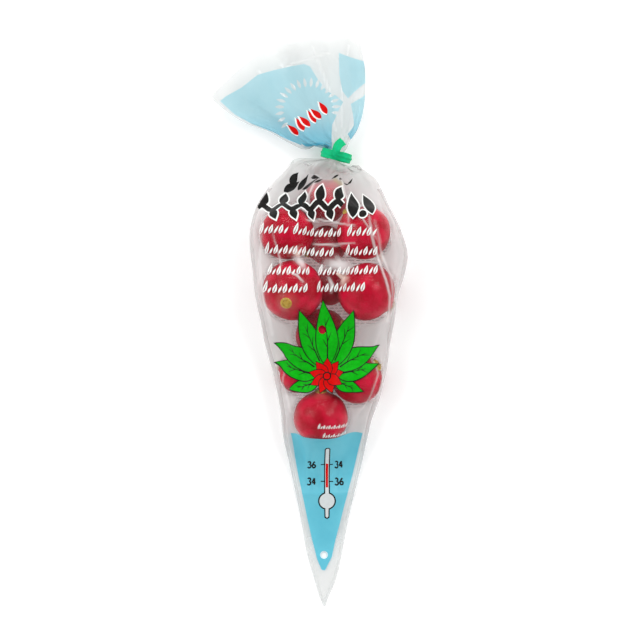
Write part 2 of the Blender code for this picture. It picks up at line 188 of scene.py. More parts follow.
def radish_tree():
    """Turns a radish's half outline about its axis, makes it uneven, bends its root a little, and
    sets stubs of cut leaf stalks on its crown. Lengths are in metres, the lump size in mm."""
    tree, given = geometry_tree("topped_radish", {
        "sides": "Int", "rows": "Int", "globe radius": "Float", "lump": "Float", "lump size": "Float",
        "root bend": "Float", "stubs": "Int", "stub length": "Float", "stub radius": "Float",
        "stub ring": "Float", "crown height": "Float", "seed": "Float", "skin": "Material",
        "crown": "Material"})
    outline = node(tree, "GeometryNodeMeshToCurve", given["Geometry"])
    outline = node(tree, "GeometryNodeCurveSplineType", outline, spline_type="CATMULL_ROM")
    sheet = node(tree, "GeometryNodeMeshGrid", 1.0, 1.0, given["sides"], given["rows"])
    node(tree, "SeparateXYZ", node(tree, "GeometryNodeInputPosition"))
    u, v = tree.nodes[-1].outputs[:2]
    along = node(tree, "Math ADD", v, 0.5)
    turn = node(tree, "Math MULTIPLY", u, 2 * math.pi)
    on_outline = node(tree, "GeometryNodeSampleCurve", outline, named={"Factor": along}, out=1,
                      mode="FACTOR", use_all_curves=True)
    turned = node(tree, "VectorRotate", on_outline, named={"Angle": turn}, rotation_type="Z_AXIS")
    body = node(tree, "GeometryNodeSetPosition", sheet, None, turned)
    body = node(tree, "GeometryNodeMergeByDistance", body, named={"Distance": 0.00002})

    here = node(tree, "GeometryNodeInputPosition")
    height = node(tree, "SeparateXYZ", here, out=2)
    in_mm = node(tree, "VectorMath MULTIPLY", here, (1000.0, 1000.0, 1000.0))
    apart = node(tree, "CombineXYZ", given["seed"], given["seed"], given["seed"])
    own = node(tree, "VectorMath ADD", in_mm, apart)
    share = node(tree, "Math DIVIDE", height, given["globe radius"])
    for name, kept, kind in (("own_place", own, "FLOAT_VECTOR"), ("height_share", share, "FLOAT")):
        body = node(tree, "GeometryNodeStoreNamedAttribute", body, None, name, kept, data_type=kind)
    scale = node(tree, "Math DIVIDE", 1.0, given["lump size"])
    lumps = node(tree, "TexNoise", own, named={"Scale": scale, "Detail": 1.0})
    lumps = node(tree, "Math SUBTRACT", lumps, 0.5)
    lumps = node(tree, "Math MULTIPLY", lumps, given["lump"])
    away = node(tree, "GeometryNodeInputNormal")
    away = node(tree, "VectorMath SCALE", away, named={"Scale": lumps})
    below = node(tree, "Math SUBTRACT", -0.9, share)
    below = node(tree, "Math MAXIMUM", below, 0.0)
    below = node(tree, "Math MULTIPLY", below, given["globe radius"])
    bend = node(tree, "Math MULTIPLY", below, below)
    bend = node(tree, "Math MULTIPLY", bend, given["root bend"])
    away = node(tree, "VectorMath ADD", away, node(tree, "CombineXYZ", bend))
    body = node(tree, "GeometryNodeSetPosition", body, None, None, away)
    body = node(tree, "GeometryNodeSetShadeSmooth", body)
    body = node(tree, "GeometryNodeSetMaterial", body, None, given["skin"])
    on_crown = node(tree, "FunctionNodeCompare", height, given["crown height"], operation="GREATER_THAN")
    body = node(tree, "GeometryNodeSetMaterial", body, on_crown, given["crown"])

    ring = node(tree, "GeometryNodeMeshCircle", given["stubs"], given["stub ring"])
    lift = node(tree, "Math ADD", given["crown height"], 0.0005)
    lift = node(tree, "CombineXYZ", 0.0, 0.0, lift)
    ring = node(tree, "GeometryNodeSetPosition", ring, None, None, lift)
    stub_top = node(tree, "Math MULTIPLY", given["stub radius"], 0.6)
    stub = node(tree, "GeometryNodeMeshCone", 8, 2, 2, stub_top, given["stub radius"], given["stub length"])
    lean, size = (
        node(tree, "FunctionNodeRandomValue", low, high, named={"Seed": seed}, data_type="FLOAT_VECTOR")
        for low, high, seed in (
            ((-0.3, -0.3, -0.5), (0.3, 0.3, 0.5), 3), ((0.7, 0.7, 0.5), (1.25, 1.25, 1.1), 5)))
    lean = node(tree, "FunctionNodeEulerToRotation", lean)
    stubs = node(tree, "GeometryNodeInstanceOnPoints", ring, None, stub,
                 named={"Rotation": lean, "Scale": size})
    stubs = node(tree, "GeometryNodeRealizeInstances", stubs)
    stub_place = node(tree, "GeometryNodeInputPosition")
    stub_place = node(tree, "VectorMath MULTIPLY", stub_place, (1000.0, 1000.0, 1000.0))
    stubs = node(tree, "GeometryNodeStoreNamedAttribute", stubs, None, "own_place", stub_place,
                 data_type="FLOAT_VECTOR")
    stubs = node(tree, "GeometryNodeSetMaterial", stubs, None, given["crown"])
    join = tree.nodes.new("GeometryNodeJoinGeometry")
    tree.links.new(body, join.inputs[0])
    tree.links.new(stubs, join.inputs[0])
    node(tree, "NodeGroupOutput", join.outputs[0])
    return tree


def radish_outline(diameter, root):
    """Half outline from the middle of the cut crown, down the globe, to the end of the root."""
    r = diameter / 2
    outline = [
        (0.0, r + CROWN_RIM - 0.1), (0.6 * CROWN_RADIUS, r + CROWN_RIM),
        (0.9 * CROWN_RADIUS, r + CROWN_RIM - 0.05), (CROWN_RADIUS, r + CROWN_RIM - 0.4),
        (CROWN_RADIUS + 0.1, r - 0.25),
    ]
    for degrees in range(64, -79, -10):
        a = math.radians(degrees)
        outline.append((r * math.cos(a), (SHOULDER if degrees > 0 else FOOT) * r * math.sin(a)))
    return outline + [
        (ROOT_THICK + 0.5, -r), (ROOT_THICK, -r - 0.6), (ROOT_END, -r - 0.6 - 0.9 * root),
        (0.6 * ROOT_END, -r - 0.6 - root), (0.0, -r - 0.7 - root),
    ]


def radish_middle(name):
    x, y, rise, diameter = RADISHES[name][:4]
    return np.array([x, y, RADISH_REST + rise + diameter / 2])


skin, crown_cut, radish_shape = radish_skin(), cut_crown(), radish_tree()
for number, (name, (_, _, _, diameter, way, root)) in enumerate(RADISHES.items()):
    outline = bpy.data.meshes.new("outline")
    corners = radish_outline(diameter, max(root - ROOT_SHORTER, ROOT_SHORTEST))
    corners = [(x * MM, 0.0, z * MM) for x, z in corners]
    outline.from_pydata(corners, [(i, i + 1) for i in range(len(corners) - 1)], [])
    mesh = made_by(radish_shape, outline, {
        "sides": RADISH_SIDES + 1, "rows": RADISH_ROWS, "globe radius": diameter / 2 * MM,
        "lump": RADISH_LUMP * MM, "lump size": RADISH_LUMP_SIZE, "root bend": ROOT_BEND,
        "stubs": STALK_STUBS, "stub length": STUB_LENGTH * MM, "stub radius": STUB_RADIUS * MM,
        "stub ring": STUB_RING * CROWN_RADIUS * MM, "crown height": (diameter / 2 + CROWN_RIM - 0.5) * MM,
        "seed": 37.0 * number, "skin": skin, "crown": crown_cut})
    turn = Vector(way).to_track_quat("Z", "X").to_matrix().to_4x4()
    mesh.transform(Matrix.Translation((radish_middle(name) + SHIFT) * MM) @ turn)
    mesh.name = name + "_skin"
    radish = in_scene(name + "_skin", mesh)
    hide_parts(name)
    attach(radish, "root")


# Bag: two plies of clear polypropylene film, 0.04 mm thick, welded together down both sides to a
# point, printed, filled, gathered at the neck and left open at the mouth. It lies on its back.
PLY_COLUMNS, FILM_ROWS = 60, 170     # cells across a ply and along it, doubled after the first draping
NECK = np.array([4.75, 226.0, 8.0])
NECK_COS, NECK_SIN = math.cos(math.radians(15)), math.sin(math.radians(15))
NECK_HALF_DEPTH = 2.85
FILM_FLOOR = 0.25                    # least height of the film
TAUT_REACH, FILM_REACH = 0.25, 0.3   # its distance from a radish before the draping and in it
FILM_SEED = 11
TAUT_STEPS, DRAPE_STEPS, FINE_STEPS = 1200, 300, 80
FILM_WEIGHT = 0.003                  # fall of each step of the draping; the mouth is stiff enough to stand
FILM_SPEED_KEPT, FILM_SPEED_LIMIT = 0.92, 0.4
PLIES_APART, SEAM_HOLD = 0.25, 0.25  # least gap between the plies, and how much each step puts a seam back
RADISH_NEAR = 7                      # film further than this from a radish at the start never meets it
SLACK = (                            # share by which the film is too long, by the distance from the tail
    (0, 75, 90, 110, 185, 205, 222, 226, 235, 290),
    (0, 0, 0.003, 0.009, 0.011, 0.007, 0.004, 0, 0.003, 0.003))
SLACK_UNEVEN, FINE_SLACK = 0.9, 0.001
RUFFLE, RUFFLED_FROM = 0.15, 0.004   # random lift of slack film before the draping, and the least slack
HELD_BY_TIE, FLAT_TAIL = 3.2, 58.0   # film that doesn't move: beside the neck's middle, and up from the tail


def beside_neck(left, right, *rest):
    """A station given across the tilted neck and along it."""
    for a, b in (right, left):
        rest = (NECK[0] + a * NECK_COS + b * NECK_SIN, NECK[1] - a * NECK_SIN + b * NECK_COS, *rest)
    return rest


# Stations from the tail to the mouth: the left edge's x and y, the right edge's, the height of the
# edges, half the height of the gathered film, the bulge towards the mouth, and the depth of the
# wide pleats and of the narrow ones near the neck.
STATIONS = [(left, y, right, y, z, 0, 0, wide, narrow) for y, left, right, z, wide, narrow in (
    (0.3, -0.6, 0.2, 0.7, 0, 0), (4.5, -2.5, 1.5, 0.7, 0, 0), (12.5, -5, 5, 0.7, 0, 0),
    (24.5, -8.5, 8, 0.7, 0, 0), (40.5, -11.5, 11, 0.9, 0, 0), (56.5, -14.5, 14.5, 1.6, 0, 0),
    (72.5, -18, 18.5, 4.5, 0, 0), (84.5, -20.5, 21, 9, 0, 0), (96.5, -21.5, 23.5, 12, 0, 0),
    (108.5, -23.5, 27.5, 13.5, 0, 0), (120.5, -26, 30.5, 14.5, 0, 0), (132.5, -29.5, 32, 16.5, 0, 0),
    (144.5, -32, 34.5, 19.5, 0, 0), (156.5, -34.8, 36.5, 22, 0, 0), (168.5, -36, 40, 22.5, 0, 0),
    (176.5, -37, 41, 22.5, 0, 0), (184.5, -37.5, 39, 22, 0, 0), (192.5, -36.5, 35.8, 20, 0, 0),
    (200.5, -33.5, 31.5, 17, 0.3, 0.05), (208.5, -28, 27.5, 13.5, 0.8, 0.15),
    (214.5, -22.5, 24, 10.5, 1.1, 0.3), (218, -19.2, 18.8, 9, 1.1, 0.4),
)]
FIRST_GATHERED = len(STATIONS)
STATIONS += [beside_neck(*values) for values in (
    ((-12.6, -5), (11.4, -4.2), 7.8, 5.2, 0, 0.8, 0.4),
    ((-4.4, -3.4), (4.4, -3.4), NECK[2], NECK_HALF_DEPTH, 0, 0.35, 0.25),
    ((-4.2, 0), (4.2, 0), NECK[2], NECK_HALF_DEPTH, 0, 0.35, 0.2),
    ((-4.4, 3.4), (4.4, 3.4), NECK[2], NECK_HALF_DEPTH, 0, 0.35, 0.25),
    ((-9.5, 3.9), (4.9, 4.6), 7.8, 3.9, 0.5, 0.5, 0.4),
    ((-13.8, -0.3), (5.3, 8), 7.6, 4.6, 2.2, 0.8, 0.45),
)] + [
    (-18.5, 233, 15, 237, 7.2, 4.8, 1.5, 1.2, 0.4), (-27, 237.6, 17.5, 242.5, 7, 4.4, 3.5, 1.6, 0.3),
    (-38, 241.5, 19.25, 249.5, 6.6, 3.6, 6.5, 1.9, 0.2), (-45.5, 245.5, 20, 258.5, 6.2, 3, 9.5, 2.1, 0.1),
    (-51.5, 250, 19.8, 269, 5.9, 2.6, 12.5, 2.2, 0), (-57, 255, 18, 279, 5.6, 2.2, 15.7, 2.3, 0),
]
PLEATS, PLEAT_CELLS = 7, 18          # wide pleats round the mouth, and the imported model's cells across a ply
FINE_PLEATS = (11.0, 0.7), (15.0, 0.5)         # narrow pleats: number and share of their depth
PLY_GAP = 0.12                       # from the middle of the flat bag to each ply
PLY_SAG = 0.3                        # how much the lower ply sinks in each step until it lies on the floor


def smooth_between(start, stop, slope, next_slope, t, gap=1):
    """Values a share t of the way along a smooth curve, from those at its ends and their slopes."""
    return (
        (2 * t**3 - 3 * t**2 + 1) * start + (t**3 - 2 * t**2 + t) * gap * slope
        + (3 * t**2 - 2 * t**3) * stop + (t**3 - t**2) * gap * next_slope
    )


def between_stations(rows):
    """The stations' values at evenly spaced rows, on a smooth curve through the stations."""
    values = np.array(STATIONS, float)
    middle = (values[:, 0:2] + values[:, 2:4]) / 2 + np.c_[0 * values[:, 6], values[:, 6]]
    at = np.concatenate([[0], np.cumsum(np.linalg.norm(np.diff(middle, axis=0), axis=1))])
    slopes = np.gradient(values, at, axis=0)
    place = np.linspace(0, at[-1], rows + 1)
    i = np.clip(np.searchsorted(at, place, side="right") - 1, 0, len(at) - 2)
    gap = (at[i + 1] - at[i])[:, None]
    t = (place[:, None] - at[i][:, None]) / gap
    made = smooth_between(values[i], values[i + 1], slopes[i], slopes[i + 1], t, gap)
    return made, int(np.searchsorted(place, at[FIRST_GATHERED - 1]))


def radish_balls(reach):
    """Balls round the globes, crowns and roots that the film lies on, with its distance."""
    balls = []
    for name, (_, _, _, diameter, crown, root) in RADISHES.items():
        middle, way = radish_middle(name), np.array(crown) / np.linalg.norm(crown)
        r = diameter / 2
        balls.append((middle, r + reach))
        balls.append((middle + (r + CROWN_RIM - CROWN_RADIUS) * way, math.sqrt(2) * CROWN_RADIUS + reach))
        for share in (0.3, 0.65, 1.0):
            thick = 2.2 - 1.4 * share
            balls.append((middle - (r + share * root - 0.4) * way, thick + reach))
    return balls


def taut(xy, z, side, last):
    """Film stretched over the radishes: each point goes to the mean of its neighbours by their
    distances, and stops at the radishes and at the floor."""
    bound = np.full(z.shape, -1e3)
    for middle, radius in radish_balls(TAUT_REACH):
        reach = radius**2 - ((xy - middle[:2])**2).sum(-1)
        outside = np.maximum(bound, side * middle[2] + np.sqrt(np.maximum(reach, 0)))
        bound = np.where(reach > 0, outside, bound)
    along, across = (
        1 / np.maximum(np.linalg.norm(np.diff(xy, axis=axis), axis=-1), 0.02) for axis in (0, 1))
    before, after, left, right = along[:-1, 1:-1], along[1:, 1:-1], across[1:-1, :-1], across[1:-1, 1:]
    whole = before + after + left + right
    for _ in range(TAUT_STEPS):
        mean = before * z[:-2, 1:-1] + after * z[2:, 1:-1] + left * z[1:-1, :-2] + right * z[1:-1, 2:]
        mean = mean / whole
        mean = np.maximum(side * mean + PLY_SAG * (side < 0), bound[1:-1, 1:-1]) * side
        z[1:last, 1:-1] = np.maximum(mean, FILM_FLOOR)[:last - 1]
    return z


def soft_noise(rows, columns, cell_rows, cell_columns, rng):
    """Smooth random values from -1 to 1 on a grid."""
    coarse = rng.uniform(-1, 1, (rows // cell_rows + 3, columns // cell_columns + 3))
    y, x = np.arange(rows) / cell_rows, np.arange(columns) / cell_columns
    i, j = y.astype(int), x.astype(int)
    u, v = (y - i)[:, None], (x - j)[None]
    u, v = u * u * (3 - 2 * u), v * v * (3 - 2 * v)
    low = coarse[i][:, j] * (1 - v) + coarse[i][:, j + 1] * v
    high = coarse[i + 1][:, j] * (1 - v) + coarse[i + 1][:, j + 1] * v
    return low * (1 - u) + high * u


def film_start():
    """Both plies before they drape, as grids of points: printed ply first."""
    rows, gathered = between_stations(FILM_ROWS)
    left, right = rows[:, 0:2], rows[:, 2:4]
    edge_z, half_depth, bulge, wide, narrow = rows[:, 4:].T
    s = np.linspace(0, 1, PLY_COLUMNS + 1)
    rounding = np.clip(half_depth / NECK_HALF_DEPTH, 0, 1)[:, None]
    across = (1 - rounding) * s + rounding * (0.5 - 0.5 * np.cos(math.pi * s))
    xy = left[:, None] + across[..., None] * (right - left)[:, None]
    arch = np.sin(math.pi * across)
    xy[..., 1] += bulge[:, None] * arch ** (0.5 + 0.3 * (across < 0.5))
    plies = []
    for side in (1, -1):
        z = edge_z[:, None] + side * (half_depth[:, None] * arch + PLY_GAP * np.minimum(4 * arch, 1))
        plies.append(np.concatenate([xy, taut(xy, z, side, gathered)[..., None]], axis=-1))
    return plies, wide, narrow


def pleat_waves(wide, narrow, thick, rng):
    """How far each point is lifted by the pleats that spread from the neck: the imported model's wide
    ones, which are shallow where the plies are close, and narrow ones between them."""
    s = np.linspace(0, 1, PLY_COLUMNS + 1)[None]
    drift = np.linspace(0, 1, FILM_ROWS + 1)[:, None]
    round_loop = (1 + PLEAT_CELLS * s) / (2 * PLEAT_CELLS + 4)
    waves = wide[:, None] * np.clip(thick / 6.0, 0.1, 1.0) * np.sin(2 * math.pi * PLEATS * round_loop)
    for count, share in FINE_PLEATS:
        turn = count * s + rng.uniform() + drift * rng.uniform(-1, 1)
        waves = waves + share * narrow[:, None] * np.sin(2 * math.pi * turn)
    return waves


def ply_normals(grid):
    """The way that each point of a ply faces."""
    normal = np.cross(np.gradient(grid, axis=1), np.gradient(grid, axis=0))
    return normal / np.maximum(np.linalg.norm(normal, axis=-1, keepdims=True), 1e-9)


def tube(front, back):
    """The two plies as one grid of closed loops."""
    return np.concatenate([front, back[:, -2:0:-1]], axis=1)


def plies_of(loops):
    columns = loops.shape[1] // 2
    return loops[:, :columns + 1], np.concatenate([loops[:, :1], loops[:, :columns - 1:-1]], axis=1)


def film_links(rows, columns, rest_scale, start):
    """Pairs of points with the length of film between them, in groups that share no point."""
    index = np.arange(rows * columns).reshape(rows, columns)
    points = start.reshape(-1, 3)
    groups = []
    for down, over, pull, push in (
        (0, 1, 0.9, 0.5), (1, 0, 0.9, 0.5), (1, 1, 0.25, 0.12), (1, -1, 0.25, 0.12),
        (0, 2, 0.0, 0.3), (2, 0, 0.0, 0.3), (0, 4, 0.0, 0.12), (4, 0, 0.0, 0.12),
    ):
        a = index[:rows - down]
        b = np.roll(index, -over, axis=1)[down:]
        key = (np.arange(rows - down)[:, None] // down % 2 if down else np.arange(columns)[None] // over % 2)
        key = np.broadcast_to(key, a.shape)
        for colour in (0, 1):
            i, j = a[key == colour], b[key == colour]
            scale = (rest_scale.ravel()[i] + rest_scale.ravel()[j]) / 2
            rest = np.linalg.norm(points[i] - points[j], axis=1) * scale
            groups.append((i, j, rest, pull, push))
    return groups


def drape(loops, slack, held, steps, weight):
    """Lets the film settle over the radishes: it doesn't stretch, it folds where it is longer than
    the way it spans, it keeps off the radishes and the floor, and the plies keep apart."""
    rows, columns = loops.shape[:2]
    points = loops.reshape(-1, 3).copy()
    start = points.copy()
    links = film_links(rows, columns, 1 + slack, loops)
    held = np.repeat(held, columns)
    balls = []
    for middle, radius in radish_balls(FILM_REACH):
        near = np.flatnonzero(((start[:, :2] - middle[:2])**2).sum(1) < (radius + RADISH_NEAR)**2)
        balls.append((middle, radius, near))
    half = columns // 2
    row_start = np.arange(rows)[:, None] * columns
    upper = (row_start + np.arange(1, half)).ravel()
    lower = (row_start + columns - np.arange(1, half)).ravel()
    seams = (row_start + (0, half)).ravel()
    speed = np.zeros_like(points)
    for _ in range(steps):
        before = points.copy()
        points += FILM_SPEED_KEPT * speed
        points[:, 2] -= weight
        for i, j, rest, pull, push in links:
            gap = points[j] - points[i]
            length = np.sqrt(np.einsum("ij,ij->i", gap, gap))
            excess = (length - rest) / np.maximum(length, 1e-6)
            gap *= (0.5 * np.where(excess > 0, pull * excess, push * excess))[:, None]
            points[i] += gap
            points[j] -= gap
        for middle, radius, near in balls:
            out = points[near] - middle
            distance = np.sqrt(np.einsum("ij,ij->i", out, out))
            inside = distance < radius
            points[near[inside]] = middle + out[inside] * (radius / distance[inside])[:, None]
        lift = np.maximum(PLIES_APART - (points[upper, 2] - points[lower, 2]), 0) / 2
        points[upper, 2] += lift
        points[lower, 2] -= lift
        points[seams, :2] += SEAM_HOLD * (start[seams, :2] - points[seams, :2])
        points[:, 2] = np.maximum(points[:, 2], FILM_FLOOR)
        points[held] = start[held]
        speed = np.clip(points - before, -FILM_SPEED_LIMIT, FILM_SPEED_LIMIT)
    return points.reshape(loops.shape)


def finer(grid):
    """A grid with a point more between every two, on a smooth curve."""
    for axis in (0, 1):
        g = np.moveaxis(grid, axis, 0)
        padded = np.concatenate([2 * g[:1] - g[1:2], g, 2 * g[-1:] - g[-2:-1]])
        made = np.empty((2 * len(g) - 1, *g.shape[1:]))
        made[0::2] = g
        made[1::2] = (9 * (padded[1:-2] + padded[2:-1]) - padded[:-3] - padded[3:]) / 16
        grid = np.moveaxis(made, 0, axis)
    return grid


rng = np.random.default_rng(FILM_SEED)
(front, back), wide, narrow = film_start()
sheet_xy = front[..., :2].copy()
pleats = pleat_waves(wide, narrow, front[..., 2] - back[..., 2], rng)[..., None] * ply_normals(front)
front, back = front + pleats, back + pleats
front[:, (0, -1)] = back[:, (0, -1)] = (front[:, (0, -1)] + back[:, (0, -1)]) / 2

loops = tube(front, back)
rows, columns = loops.shape[:2]
y_of_row = sheet_xy[:, PLY_COLUMNS // 2, 1]
slack = np.interp(y_of_row, *SLACK)[:, None] * (1 + SLACK_UNEVEN * soft_noise(rows, columns, 9, 7, rng))
loops[..., 2] += RUFFLE * rng.uniform(-1, 1, (rows, columns)) * (slack > RUFFLED_FROM)
along_neck = (sheet_xy[..., 0] - NECK[0]) * NECK_SIN + (sheet_xy[..., 1] - NECK[1]) * NECK_COS
held = (np.abs(along_neck).max(axis=1) < HELD_BY_TIE) | (y_of_row < FLAT_TAIL)
weight = np.repeat(np.where(y_of_row < NECK[1], FILM_WEIGHT, 0.0), columns)
loops = drape(loops, slack, held, DRAPE_STEPS, weight)
front, back = (finer(ply) for ply in plies_of(loops))
sheet_xy = finer(sheet_xy)
loops = tube(front, back)
slack = np.full(loops.shape[:2], FINE_SLACK)
loops = drape(loops, slack, np.repeat(held, 2)[:len(loops)], FINE_STEPS, 0.0)
front, back = plies_of(loops)


# Print and film: inks laid on the plies before the bag was welded. The blue ink is thin and clear,
# the others cover. Each shape is cut into the film's own mesh, so that it creases with it. The
# shapes are given on the plan of the bag, in millimetres from its middle line and tail.
PRINT_SEED = 5
CONTOUR_STEP = 1.3                   # longest edge of a print's outline on the mesh
ROSETTE = 0.5, 117.5
VINE_WAVE = 9.4
WELD_WIDTH, WELD_TOP = 1.5, 210.0
VENTS, VENT_RADIUS = ((-2, 140), (-0.5, 26)), 2.0
SHINE_INDEX, SHINE_SHARE = 1.3, 0.5
FILM_LAYERS = (
    "clear", "weld", "blue", "pale_blue", "white", "green", "red", "black", "grey", "pale_grey", "hole")


def leaf(x, y, degrees, length, width, bend=0.0, fullness=0.8):
    """Outline of a pointed leaf from its stalk to its tip, bent to one side."""
    t = np.linspace(0, 1, 14)
    half = width / 2 * np.sin(math.pi * t**fullness) * (1 - 0.15 * t)
    middle = bend * length * t**2
    one, other = (np.stack([t * length, middle + side * half], 1) for side in (1, -1))
    return turned(np.concatenate([one, other[-2:0:-1]]), x, y, degrees)


def turned(points, x, y, degrees):
    """Points turned about the origin and moved."""
    a = math.radians(degrees)
    points = np.asarray(points, float)
    return np.stack([
        x + points[:, 0] * math.cos(a) - points[:, 1] * math.sin(a),
        y + points[:, 0] * math.sin(a) + points[:, 1] * math.cos(a),
    ], 1)


def stroke(points, width, tip=1.0):
    """Outline of a pen stroke along some points, thinner towards its end."""
    points = np.asarray(points, float)
    way = np.gradient(points, axis=0)
    way /= np.linalg.norm(way, axis=1, keepdims=True)
    aside = np.stack([-way[:, 1], way[:, 0]], 1) * (width / 2 * np.linspace(1, tip, len(points)))[:, None]
    return np.concatenate([points + aside, (points - aside)[::-1]])


def disc(x, y, radius, sides=28):
    a = np.linspace(0, 2 * math.pi, sides, endpoint=False)
    return np.stack([x + radius * np.cos(a), y + radius * np.sin(a)], 1)


def arc(x, y, radius, start, stop, count=12):
    a = np.radians(np.linspace(start, stop, count))
    return np.stack([x + radius * np.cos(a), y + radius * np.sin(a)], 1)


def box(left, right, low, high):
    return [(left, low), (right, low), (right, high), (left, high)]


def edged(ink, outline_ink, x, y, degrees, length, width, bend, edge):
    """A leaf with an outline of another ink."""
    a = math.radians(degrees)
    back = (x - edge * math.cos(a), y - edge * math.sin(a))
    outer = leaf(*back, degrees, length + 2.6 * edge, width + 2 * edge, bend * length / (length + 2.6 * edge))
    return [(outline_ink, outer), (ink, leaf(x, y, degrees, length, width, bend))]


def veined_leaf(x, y, degrees, length, width, bend):
    """A green leaf with a dark outline, midrib and side veins."""
    shapes = edged("green", "black", x, y, degrees, length, width, bend, 0.55)
    t = np.linspace(0.12, 0.72, 8)
    rib = np.stack([t * length, bend * length * t**2], 1)
    shapes.append(("black", turned(stroke(rib, 0.7, 0.3), x, y, degrees)))
    for share, side in ((0.3, 1), (0.4, -1), (0.52, 1), (0.62, -1)):
        start = np.array([share * length, bend * length * share**2])
        vein = np.stack([start + s * np.array([0.13 * length, side * 0.2 * width]) for s in (0, 0.5, 1)])
        shapes.append(("black", turned(stroke(vein, 0.55, 0.3), x, y, degrees)))
    return shapes


def foliage():
    """Rosette of red petals on a fan of green leaves, in the middle of the bag."""
    shapes, (x, y) = [], ROSETTE
    for degrees, length, width, bend in (
        (-28, 15, 7, 0.1), (208, 15, 7, -0.1), (6, 21, 9.5, 0.12), (174, 21, 9.5, -0.12),
        (33, 25, 10.5, -0.1), (147, 25, 10.5, 0.1), (62, 30, 11, 0.08), (118, 30, 11, -0.08),
        (90, 32, 11.5, 0.05),
    ):
        a = math.radians(degrees)
        shapes += veined_leaf(x + 4.5 * math.cos(a), y + 4.5 * math.sin(a), degrees, length, width, bend)
    for petal in range(9):
        shapes += edged("red", "black", x, y, 40 * petal + 10, 8.6, 5.2, 0.0, 0.4)
    return shapes + [("black", disc(x, y, 2.1)), ("red", disc(x, y, 1.5))]


def vine():
    """Bold black wavy stem with a leaf on each bend, edged in white, across the shoulder of the bag,
    and two large leaves and a berry at its right end."""
    def height(x):
        return 200.2 + 0.03 * x + 1.6 * np.cos(2 * math.pi * (x + 31.5) / VINE_WAVE)

    x = np.linspace(-33.5, 9, 50)
    stem = np.stack([x, height(x)], 1)
    leaves = []
    for number, at in enumerate(np.arange(-31.5, 8, VINE_WAVE / 2)):
        leaves.append((at, height(at), *((-66, 5.6, 4.2, -0.08) if number % 2 else (70, 8, 5, 0.08))))
    leaves += [(14.8, 193.6, 92, 15.5, 5.8, 0.03), (23.8, 195.4, 106, 13, 5.2, 0.05)]
    berry = (19.3, 195.4)
    shapes = [("white", stroke(stem, 3.9)), ("white", disc(*berry, 2.5))]
    for one in leaves:
        shapes.append(edged("black", "white", *one, 0.75)[0])
    shapes += [("black", stroke(stem, 2.5)), ("black", disc(*berry, 1.8))]
    shapes += [("black", leaf(*one)) for one in leaves]
    return shapes


def small_twigs():
    """Loose black leaf strokes between the vine and the neck."""
    return [("black", leaf(*values)) for values in (
        (-21, 209.4, 34, 10.5, 3.6, 0.1), (-17, 212.6, 74, 8, 3.4, -0.1), (-14, 210.8, 56, 10, 3, 0.05),
        (-12, 211, 10, 9.5, 3.2, 0.18), (-7.5, 217.5, -34, 6.5, 2.4, 0), (-5, 211, 25, 5, 1.6, 0.1),
        (3, 213, 35, 5, 1.3, 0.15), (6.5, 212.8, 55, 4.2, 1.2, -0.1), (9.5, 212.6, 30, 4, 1.2, 0),
        (12.5, 214.5, 60, 3, 1, 0),
    )]


def leaf_row(start, stop, foot, slope, tall, rng):
    """A row of leaning white leaves with a clear midrib, with slim ones between. The first is the
    tallest."""
    shapes = []
    for number, x in enumerate(np.arange(start, stop, 0.6 * tall)):
        y = foot + slope * x
        if number % 2:
            shapes.append(("white", leaf(x, y, 66, tall * (0.8 + 0.35 * rng.uniform()), 0.26 * tall, -0.08)))
            continue
        long = tall * (1.6 if number == 0 else 1.2)
        shapes.append(("white", leaf(x, y, 66, long, 0.52 * tall, 0.08)))
        t = np.linspace(0.1, 0.75, 5)
        rib = np.stack([t * long, 0.08 * long * t**2], 1)
        shapes.append(("clear", turned(stroke(rib, 0.12 * tall, 0.4), x, y, 66)))
    return shapes


def rows_of_leaves(rng):
    """White rows of small leaves in groups: four across the middle of the bag, two small ones below."""
    shapes = []
    for foot, slope, groups in (
        (185.2, -0.02, ((-32.5, -20.5), (-16.5, 7), (12.5, 25.5))),
        (175.9, -0.01, ((-30, 5), (11, 26.5))),
        (166.5, 0.01, ((-28.5, -8.5), (-3, 27))),
        (158.3, 0.02, ((-30.5, -10), (-4.5, 19))),
    ):
        for start, stop in groups:
            shapes += leaf_row(start, stop, foot, slope, 3.9, rng)
    return shapes + leaf_row(-3.5, 11, 91.6, 0, 1.9, rng) + leaf_row(-1.5, 10.5, 86.9, 0, 1.9, rng)


def digits(text, x, y, tall):
    """Plain numbers drawn as pen strokes."""
    pens = {
        "3": [np.concatenate([arc(0.25, 0.76, 0.22, 150, -60, 9), arc(0.25, 0.27, 0.27, 70, -155, 11)])],
        "4": [[(0.4, 0.02), (0.4, 0.5), (0.4, 1)], [(0.38, 0.98), (0.2, 0.66), (0.03, 0.34)],
              [(0.03, 0.32), (0.3, 0.32), (0.58, 0.32)]],
        "6": [np.concatenate([[(0.46, 0.99), (0.3, 0.85)], arc(0.3, 0.32, 0.27, 158, 185, 4)]),
              arc(0.3, 0.28, 0.24, -20, 190, 12), arc(0.3, 0.28, 0.24, 170, 360, 12)],
    }
    shapes = []
    for number, sign in enumerate(text):
        for pen in pens[sign]:
            shapes.append(("black", stroke(pen, 0.25) * tall + (x + 0.72 * tall * number, y)))
    return shapes


